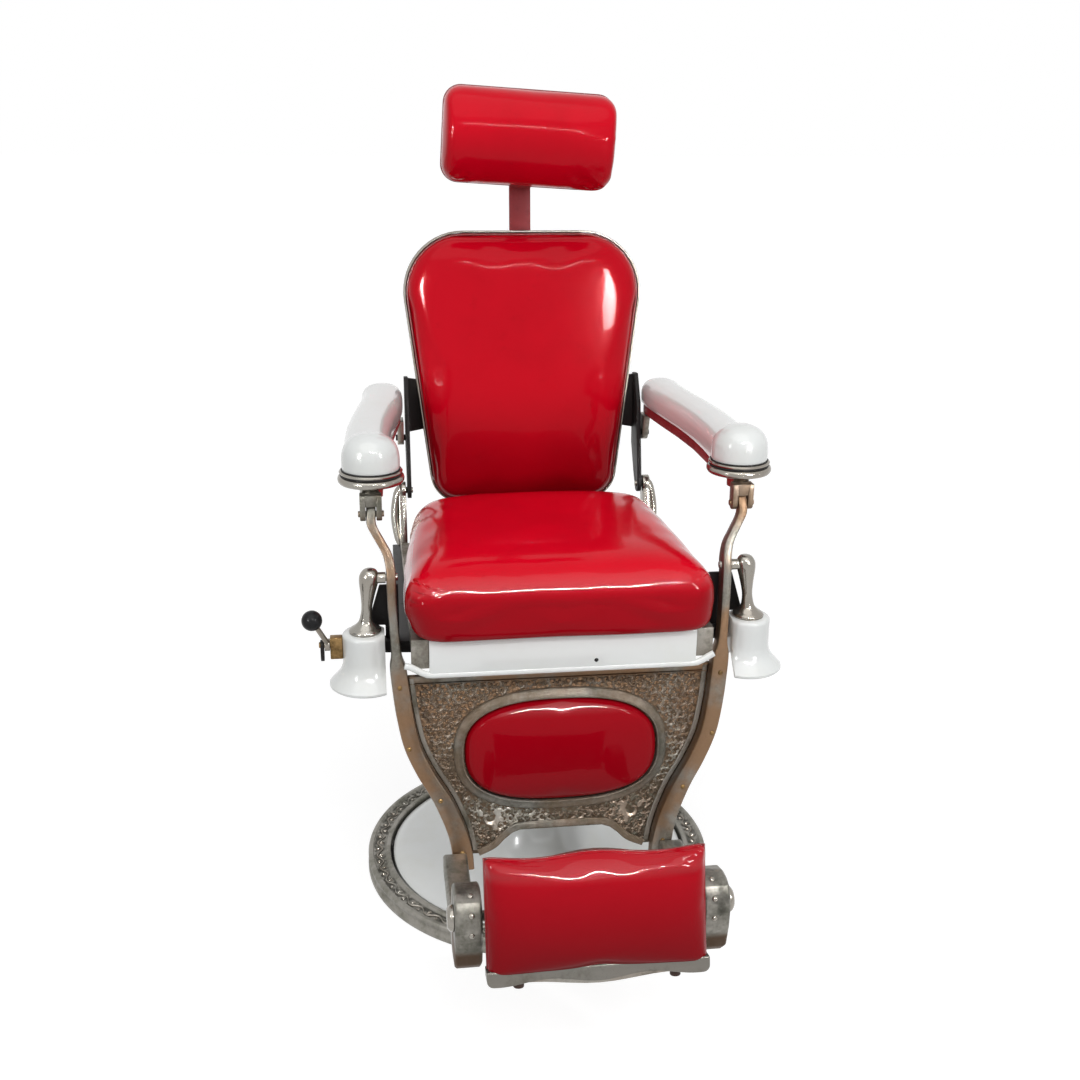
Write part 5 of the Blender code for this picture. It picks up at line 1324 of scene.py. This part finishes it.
def bracket_bolts():
    """Small bolts on the front and the top of the footrest brackets."""
    heads = []
    for side, suffix in SIDES:
        node = "footrest_bracket_" + suffix
        low, high = (Vector(corner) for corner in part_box(node))
        middle = side * (min(abs(low.x), abs(high.x)) + 0.4 * (high.x - low.x))
        away = low.y - 0.2
        for start, way in (((middle, away, TREAD_PIVOT.z - 0.012), (0, 1, 0)),
                           ((middle, away, TREAD_PIVOT.z + 0.020), (0, 1, 0)),
                           ((middle, TREAD_PIVOT.y - 0.004, high.z + 0.2), (0, 0, -1))):
            spot, normal = surface_spot(node, start, way)
            heads.append(rivet("bolt_" + suffix, spot, normal, BOLT_RADIUS))
    place_on(join(heads, "bracket_bolts"), "bright", "leg_frame", slot="aged_nickel", angle=60)


def scroll(points, faces, middle, start, hand, size, rise):
    """An open spiral with four leaves, laid on the panel."""
    steps, first = 9, len(points)
    up = Vector((0, 0, 1))
    for t in (k / (steps - 1) for k in range(steps)):
        out = ray(start + hand * t * 1.9 * math.pi)
        core = middle + out * (size * (0.44 * (1 - t) ** 0.8 + 0.08))
        half = size * (0.11 * (1 - t) + 0.055)
        tall = rise * (0.75 + 0.35 * t)
        points += [LEG_FRAME @ (core + step) for step in (-out * half, up * tall, out * half)]
    for a in (first + 3 * k for k in range(steps - 1)):
        faces += [(a, a + 1, a + 4, a + 3), (a + 1, a + 2, a + 5, a + 4)]
    turned = LEG_FRAME.to_3x3()
    for spread in (0.30, 1.15, 2.0, 4.6):
        out = ray(start + hand * spread)
        way = (out + 0.45 * hand * Vector((-out.y, out.x, 0))).normalized()
        heart = LEG_FRAME @ (middle + out * size * 0.54)
        across = Vector((-way.y, way.x, 0))
        add_leaf(points, faces, heart, turned @ way, turned @ across, size * 0.52, size * 0.30, rise * 0.95,
                 turned @ up)


def panel_scrolls():
    """Cast scrolls and leaves round the oval, with two large ones in the lower corners."""
    pitch, rise = sizes().scroll_pitch, sizes().scroll_rise
    outline = stadium(OVAL_HALF + OVAL_RIM, OVAL_HIGH + OVAL_RIM)
    points, faces = [], []
    for row in range(int(0.312 / (0.87 * pitch))):
        s = PANEL_TOP - 0.0215 - row * 0.87 * pitch
        limit = rail_place(s * LEG_COS) - RAIL_EDGE - SIDE_STRIP - 0.42 * pitch
        for column in range(int(0.26 / pitch)):
            x = (column + (0.5 if row % 2 else 0.0)) * pitch
            near = math.hypot(x, s - OVAL_MIDDLE) * (1 - reach(outline, x, s - OVAL_MIDDLE))
            corner = math.hypot(x - CORNER_X, s - PANEL_ARCH - CORNER_RISE)
            low = s - 0.50 * pitch < arch_at(x) + 0.007
            if x > limit or near < 0.42 * pitch or low or corner < 0.021:
                continue
            start = 5.1 * math.sin(12.9 * row + 7.7 * column)
            size = pitch * (0.98 + 0.16 * math.sin(1.7 * column + 2.3 * row))
            for side in ((1, -1) if x > 0 else (1,)):
                hand = side if (row + column) % 3 else -side
                heart = Vector((side * x, s, PANEL_FACE))
                scroll(points, faces, heart, start if side > 0 else math.pi - start, hand, size, rise)
    for side in (1, -1):
        heart = Vector((side * CORNER_X, PANEL_ARCH + CORNER_RISE, PANEL_FACE))
        scroll(points, faces, heart, 2.2 if side > 0 else math.pi - 2.2, side, 0.034, 1.4 * rise)
    relief = mesh_object("panel_scrolls", points, faces)
    place_on(relief, "relief", "leg_frame", slot="aged_nickel", angle=70)


def on_panel(rows):
    """Places on the leg panel from steps aside, up and forward."""
    return [LEG_FRAME @ Vector((x, s, PANEL_FACE + h)) for x, s, h in rows]


def panel_sides():
    """A plain strip on the panel along the inner edge of each rail."""
    top, foot = PANEL_TOP * LEG_COS - 0.003, PANEL_ARCH * LEG_COS - 0.038
    section = at(-SIDE_STRIP, 0, (0, 0), (0, 2), (1, 3)) + at(0, 0, (-1.2, 3), (0, 1.8), (0, 0))
    strips = []
    for side in (1, -1):
        rings = []
        for spot, width in rail_spots():
            if foot <= spot.y <= top:
                edge = spot.x - width.x - 0.0006
                rings.append(on_panel((side * (edge + a), spot.y / LEG_COS, b) for a, b in section))
        strips.append(rings_mesh("panel_strip", rings))
    place_on(join(strips, "panel_sides"), "dull", "leg_frame", slot="aged_nickel", angle=40)


def panel_border():
    """A raised band along the panel's top."""
    half = rail_place((PANEL_TOP - 0.004) * LEG_COS) - 0.016
    bars = []
    for low, high, rise in ((-0.0125, -0.0005, 0.0022), (-0.0150, -0.0128, 0.0036)):
        low, high = PANEL_TOP + low, PANEL_TOP + high
        section = [(low, 0.0), (low, 0.7 * rise), (low + 0.0008, rise), (high - 0.0008, rise),
                   (high, 0.7 * rise), (high, 0.0)]
        bars.append(rings_mesh("panel_bar", [on_panel((x, s, h) for s, h in section) for x in (-half, half)]))
    place_on(join(bars, "panel_border"), "bronzed", "leg_frame", slot="aged_nickel", angle=40)


def panel_arch():
    """A broader raised band along the panel's arch."""
    line = through([(-x, arch_at(x), 0) for x in (0.139, 0.112, 0.092, 0.068, 0.0)], 5)
    line += [Vector((-p.x, p.y, 0)) for p in reversed(line[:-1])]
    section = at(0, 0, (0.5, 0), (0.5, 2.4), (2, 4), (11, 4.2), (12.5, 3), (13, 0))
    rings = []
    for i, here in enumerate(line):
        along = heading(line, i)
        rings.append(on_panel((here.x - along.y * a, here.y + along.x * a, h) for a, h in section))
    place_on(rings_mesh("panel_arch", rings), "bezel", "leg_frame", slot="aged_nickel", angle=40)


def calf_bezel():
    """The flat rim of the oval pad, with a bead at its inner edge."""
    section = at(0, 0, (0.4, 0), (0.4, 8.8), (1.2, 10.4), (2.8, 10.8), (4.2, 9.8), (5.2, 8.2), (11, 6.6),
                 (15, 5.2), (16.8, 3.4), (17.2, 0))
    outline = [(x, s + OVAL_MIDDLE) for x, s in stadium(OVAL_HALF, OVAL_HIGH)]
    rim = moulding("calf_bezel_rounded", outline, section, LEG_FRAME @ Matrix.Translation((0, 0, OVAL_FACE)))
    place_on(rim, "bezel", "leg_frame", "calf_bezel", angle=45)


def back_rim():
    """The nickel band round the back."""
    section = at(0, 0, (0, -47.5), (0, -13.5), (-1, -12.2), (-2.6, -12.2), (-3.4, -13.5), (-3.4, -47.5))
    rim = moulding("back_rim_rounded", back_outline(), section, BACK_FRAME)
    place_on(rim, "nickel", "back", "back_rim", angle=40)


def lever_ball():
    """The black ball on the lever."""
    low, high = (Vector(corner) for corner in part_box("lever_knob"))
    radius = (high - low).z / 2
    turns = [math.pi * k / 14 for k in range(15)]
    ball = turn("lever_ball", [(radius * math.sin(t), radius * math.cos(t)) for t in turns], steps=32)
    ball.data.transform(Matrix.Translation((low + high) / 2))
    place_on(ball, "ball", "lever", "lever_knob", angle=60)


# Stage

def photo_camera():
    """The camera that was fitted to the photograph."""
    across, up = math.cos(CAMERA_PITCH), math.sin(CAMERA_PITCH)
    forward = Vector((math.sin(CAMERA_YAW) * across, math.cos(CAMERA_YAW) * across, -up))
    right = Vector((math.cos(CAMERA_YAW), -math.sin(CAMERA_YAW), 0))
    down = forward.cross(right)
    c, s = math.cos(CAMERA_ROLL), math.sin(CAMERA_ROLL)
    right, down = c * right + s * down, c * down - s * right
    deselect()
    bpy.ops.object.camera_add()
    camera = bpy.context.object
    camera.name = "photo_camera"
    camera.data.lens = CAMERA_LENS
    camera.data.sensor_width = CAMERA_SENSOR
    turned = Matrix((right, -down, -forward)).transposed().to_4x4()
    camera.matrix_world = Matrix.Translation(CAMERA_SPOT) @ turned
    bpy.context.scene.camera = camera


def lamp_at(name, kind, spot, aim, power):
    """A lamp on a spot, turned to what it lights."""
    deselect()
    bpy.ops.object.light_add(type=kind, location=spot)
    lamp = bpy.context.object
    lamp.name = name
    lamp.data.energy = power
    lamp.rotation_euler = (Vector(aim) - Vector(spot)).to_track_quat("-Z", "Y").to_euler()
    return lamp


def soft_lamp(name, spot, aim, wide, tall, power, spread=None):
    """A rectangular lamp; one with a narrow spread is only seen in gloss."""
    lamp = lamp_at(name, "AREA", spot, aim, power)
    lamp.data.shape = "RECTANGLE"
    lamp.data.size, lamp.data.size_y = wide, tall
    if spread:
        lamp.data.spread = math.radians(spread)
        lamp.visible_diffuse = False


def seen_share(tree):
    """1 for rays from the camera, from gloss and through glass."""
    path = tree.nodes.new("ShaderNodeLightPath")
    total = path.outputs["Is Camera Ray"]
    for kind in ("Is Glossy Ray", "Is Transmission Ray"):
        node = tree.nodes.new("ShaderNodeMath")
        node.operation = "MAXIMUM"
        tree.links.new(total, node.inputs[0])
        tree.links.new(path.outputs[kind], node.inputs[1])
        total = node.outputs[0]
    return total


def studio_floor(glow=0.77):
    """A pale floor that the camera sees as white."""
    deselect()
    bpy.ops.mesh.primitive_plane_add(size=60)
    floor = bpy.context.object
    floor.name = "studio_floor"
    material = bpy.data.materials.new("pale_floor")
    material.use_nodes = True
    tree = material.node_tree
    sockets = tree.nodes["Principled BSDF"].inputs
    sockets["Base Color"].default_value = (*colours().floor, 1)
    sockets["Roughness"].default_value = 0.9
    sockets["Specular IOR Level"].default_value = 0.0
    sockets["Emission Color"].default_value = (1, 1, 1, 1)
    lift = tree.nodes.new("ShaderNodeMath")
    lift.operation = "MULTIPLY"
    lift.inputs[1].default_value = glow
    tree.links.new(seen_share(tree), lift.inputs[0])
    tree.links.new(lift.outputs[0], sockets["Emission Strength"])
    floor.data.materials.append(material)


def studio_world(light=0.32):
    """Even light all round, behind a white ground."""
    world = bpy.data.worlds.new("studio_world")
    bpy.context.scene.world = world
    world.use_nodes = True
    tree = world.node_tree
    ground = tree.nodes["Background"]
    ground.inputs["Color"].default_value = (1, 1, 1, 1)
    level = tree.nodes.new("ShaderNodeMapRange")
    level.inputs["To Min"].default_value = light
    level.inputs["To Max"].default_value = 1.0
    tree.links.new(seen_share(tree), level.inputs["Value"])
    tree.links.new(level.outputs[0], ground.inputs["Strength"])


# Operators

class CHAIR_OT_base(bpy.types.Operator):
    """Finish the round base, its vine, the pedestal and the pump"""

    bl_idname = "barber_chair.base"
    bl_label = "Base"

    def execute(self, context):
        base_ring()
        base_vine()
        pedestal()
        lift_ram()
        casting("gland_nut", "nickel", 0.0025)
        casting("pump_cylinder", "iron")
        casting("base_plate", "iron")
        casting("piston_cup", "rubber")
        casting("thrust_washer", "brass")
        return {"FINISHED"}


class CHAIR_OT_seat(bpy.types.Operator):
    """Finish the seat's bells, balusters, apron and brackets"""

    bl_idname = "barber_chair.seat"
    bl_label = "Seat frame"

    def execute(self, context):
        for side, suffix in SIDES:
            seat_bell(side, suffix)
            baluster(side, suffix)
            seat_shade_web(side, suffix)
            casting("seat_rail_" + suffix, "dull")
            casting("back_hinge_" + suffix, "bright", 0.0015)
            hinge_link(side, suffix)
        seat_apron()
        casting("seat_frame", "iron")
        casting("seat_hub", "iron", 0.002)
        casting("seat_board", "wood")
        return {"FINISHED"}


class CHAIR_OT_upholstery(bpy.types.Operator):
    """Cover the seat, the back, the headrest, the calf rest and the footrest"""

    bl_idname = "barber_chair.upholstery"
    bl_label = "Upholstery"

    def execute(self, context):
        seat_cover()
        back_cover()
        head_cover()
        calf_cover()
        tread_cover()
        return {"FINISHED"}


class CHAIR_OT_back(bpy.types.Operator):
    """Finish the back's rim, board, straps, headrest post and socket"""

    bl_idname = "barber_chair.back"
    bl_label = "Back frame"

    def execute(self, context):
        back_rim()
        for _, suffix in SIDES:
            casting("back_strap_" + suffix, "iron", 0.0015)
        casting("back_panel", "wood")
        casting("headrest_socket", "iron", 0.002)
        casting("post_thumb_screw", "bright")
        casting("headrest_post", "maroon", 0.0015)
        casting("headrest_shell", "iron", 0.0015)
        casting("headrest_pin", "nickel", 0.0006)
        return {"FINISHED"}


class CHAIR_OT_arms(bpy.types.Operator):
    """Glaze the arms and finish their ferrules, forks, pins and strips"""

    bl_idname = "barber_chair.arms"
    bl_label = "Arms"

    def execute(self, context):
        for side, suffix in SIDES:
            arm_top(side, suffix)
            arm_ferrule(side, suffix)
            arm_fork(side, suffix)
            casting("arm_lug_" + suffix, "nickel")
            casting("arm_rail_" + suffix, "maroon", 0.0022)
            casting("clevis_pin_" + suffix, "bronzed", 0.0008)
        return {"FINISHED"}


class CHAIR_OT_legs(bpy.types.Operator):
    """Finish the leg rails, the cast panel and the oval's rim"""

    bl_idname = "barber_chair.legs"
    bl_label = "Leg frame"

    def execute(self, context):
        for side, suffix in SIDES:
            leg_rail(side, suffix)
            casting("footrest_bracket_" + suffix, "bracket", 0.0035, 3)
            casting("trunnion_" + suffix, "bright", 0.001)
        bracket_bolts()
        casting("leg_panel", "ground", 0.001)
        panel_scrolls()
        panel_border()
        panel_arch()
        panel_sides()
        calf_bezel()
        rail_rivets()
        return {"FINISHED"}


class CHAIR_OT_footrest(bpy.types.Operator):
    """Finish the footrest's frame and feet"""

    bl_idname = "barber_chair.footrest"
    bl_label = "Footrest"

    def execute(self, context):
        footrest_frame()
        for _, suffix in SIDES:
            casting("footrest_foot_" + suffix, "rubber", 0.0020, 3)
        return {"FINISHED"}


class CHAIR_OT_lever(bpy.types.Operator):
    """Finish the side lever, its ball, its bracket and the trigger"""

    bl_idname = "barber_chair.lever"
    bl_label = "Lever"

    def execute(self, context):
        lever_ball()
        casting("lever_arm", "nickel", 0.0008)
        casting("lever_bracket", "brass", 0.0015)
        casting("release_trigger", "iron", 0.0012)
        return {"FINISHED"}


class CHAIR_OT_stage(bpy.types.Operator):
    """Set the pale floor, the soft light and the photograph's camera"""

    bl_idname = "barber_chair.stage"
    bl_label = "Stage"

    def execute(self, context):
        context.scene.view_settings.view_transform = "Standard"
        photo_camera()
        studio_floor()
        studio_world()
        # Even light from above lays the shadow on the floor
        sky = lamp_at("skylight", "SUN", (-0.10, -0.45, 1.0), (0, 0, 0), 0.90)
        sky.data.angle = math.radians(60)
        front, right, left = (0.3, -2.2, 2.35), (1.06, -1.70, 1.46), (-1.55, -1.40, 1.50)
        soft_lamp("strip_front", front, (0, -0.3, 0.7), 1.3, 0.020, 9)
        soft_lamp("window_right", right, (0.15, 0.23, 1.06), 0.13, 0.75, 11)
        soft_lamp("window_left", left, (-0.19, 0.24, 1.06), 0.16, 0.55, 7)
        soft_lamp("gloss_front", front, (0, -0.5, 0.55), 1.3, 0.020, 2.0, 36)
        soft_lamp("gloss_right", right, (0.19, 0.25, 1.06), 0.26, 0.75, 1.6, 24)
        soft_lamp("gloss_left", left, (-0.21, 0.24, 1.06), 0.26, 0.80, 2.2, 24)
        return {"FINISHED"}


class CHAIR_PT_finish(bpy.types.Panel):
    """Shows the chair's settings and the steps of its finish"""

    bl_idname = "CHAIR_PT_finish"
    bl_label = "Barber chair"
    bl_space_type = "VIEW_3D"
    bl_region_type = "UI"
    bl_category = "Barber Chair"

    def draw(self, context):
        settings = context.scene.barber_chair
        for group in (settings.sizes, settings.colours):
            for name in group.__annotations__:
                self.layout.prop(group, name)
        for operator in OPERATORS:
            self.layout.operator(operator.bl_idname)


OPERATORS = (CHAIR_OT_stage, CHAIR_OT_base, CHAIR_OT_seat, CHAIR_OT_upholstery, CHAIR_OT_back, CHAIR_OT_arms,
             CHAIR_OT_legs, CHAIR_OT_footrest, CHAIR_OT_lever)
CLASSES = (ChairColours, ChairSizes, ChairSettings) + OPERATORS + (CHAIR_PT_finish,)


def register():
    for kind in CLASSES:
        bpy.utils.register_class(kind)
    bpy.types.Scene.barber_chair = bpy.props.PointerProperty(type=ChairSettings)


def unregister():
    del bpy.types.Scene.barber_chair
    for kind in reversed(CLASSES):
        bpy.utils.unregister_class(kind)


def main():
    register()
    for operator in OPERATORS:
        group, name = operator.bl_idname.split(".")
        getattr(getattr(bpy.ops, group), name)()


if __name__ == "__main__":
    main()
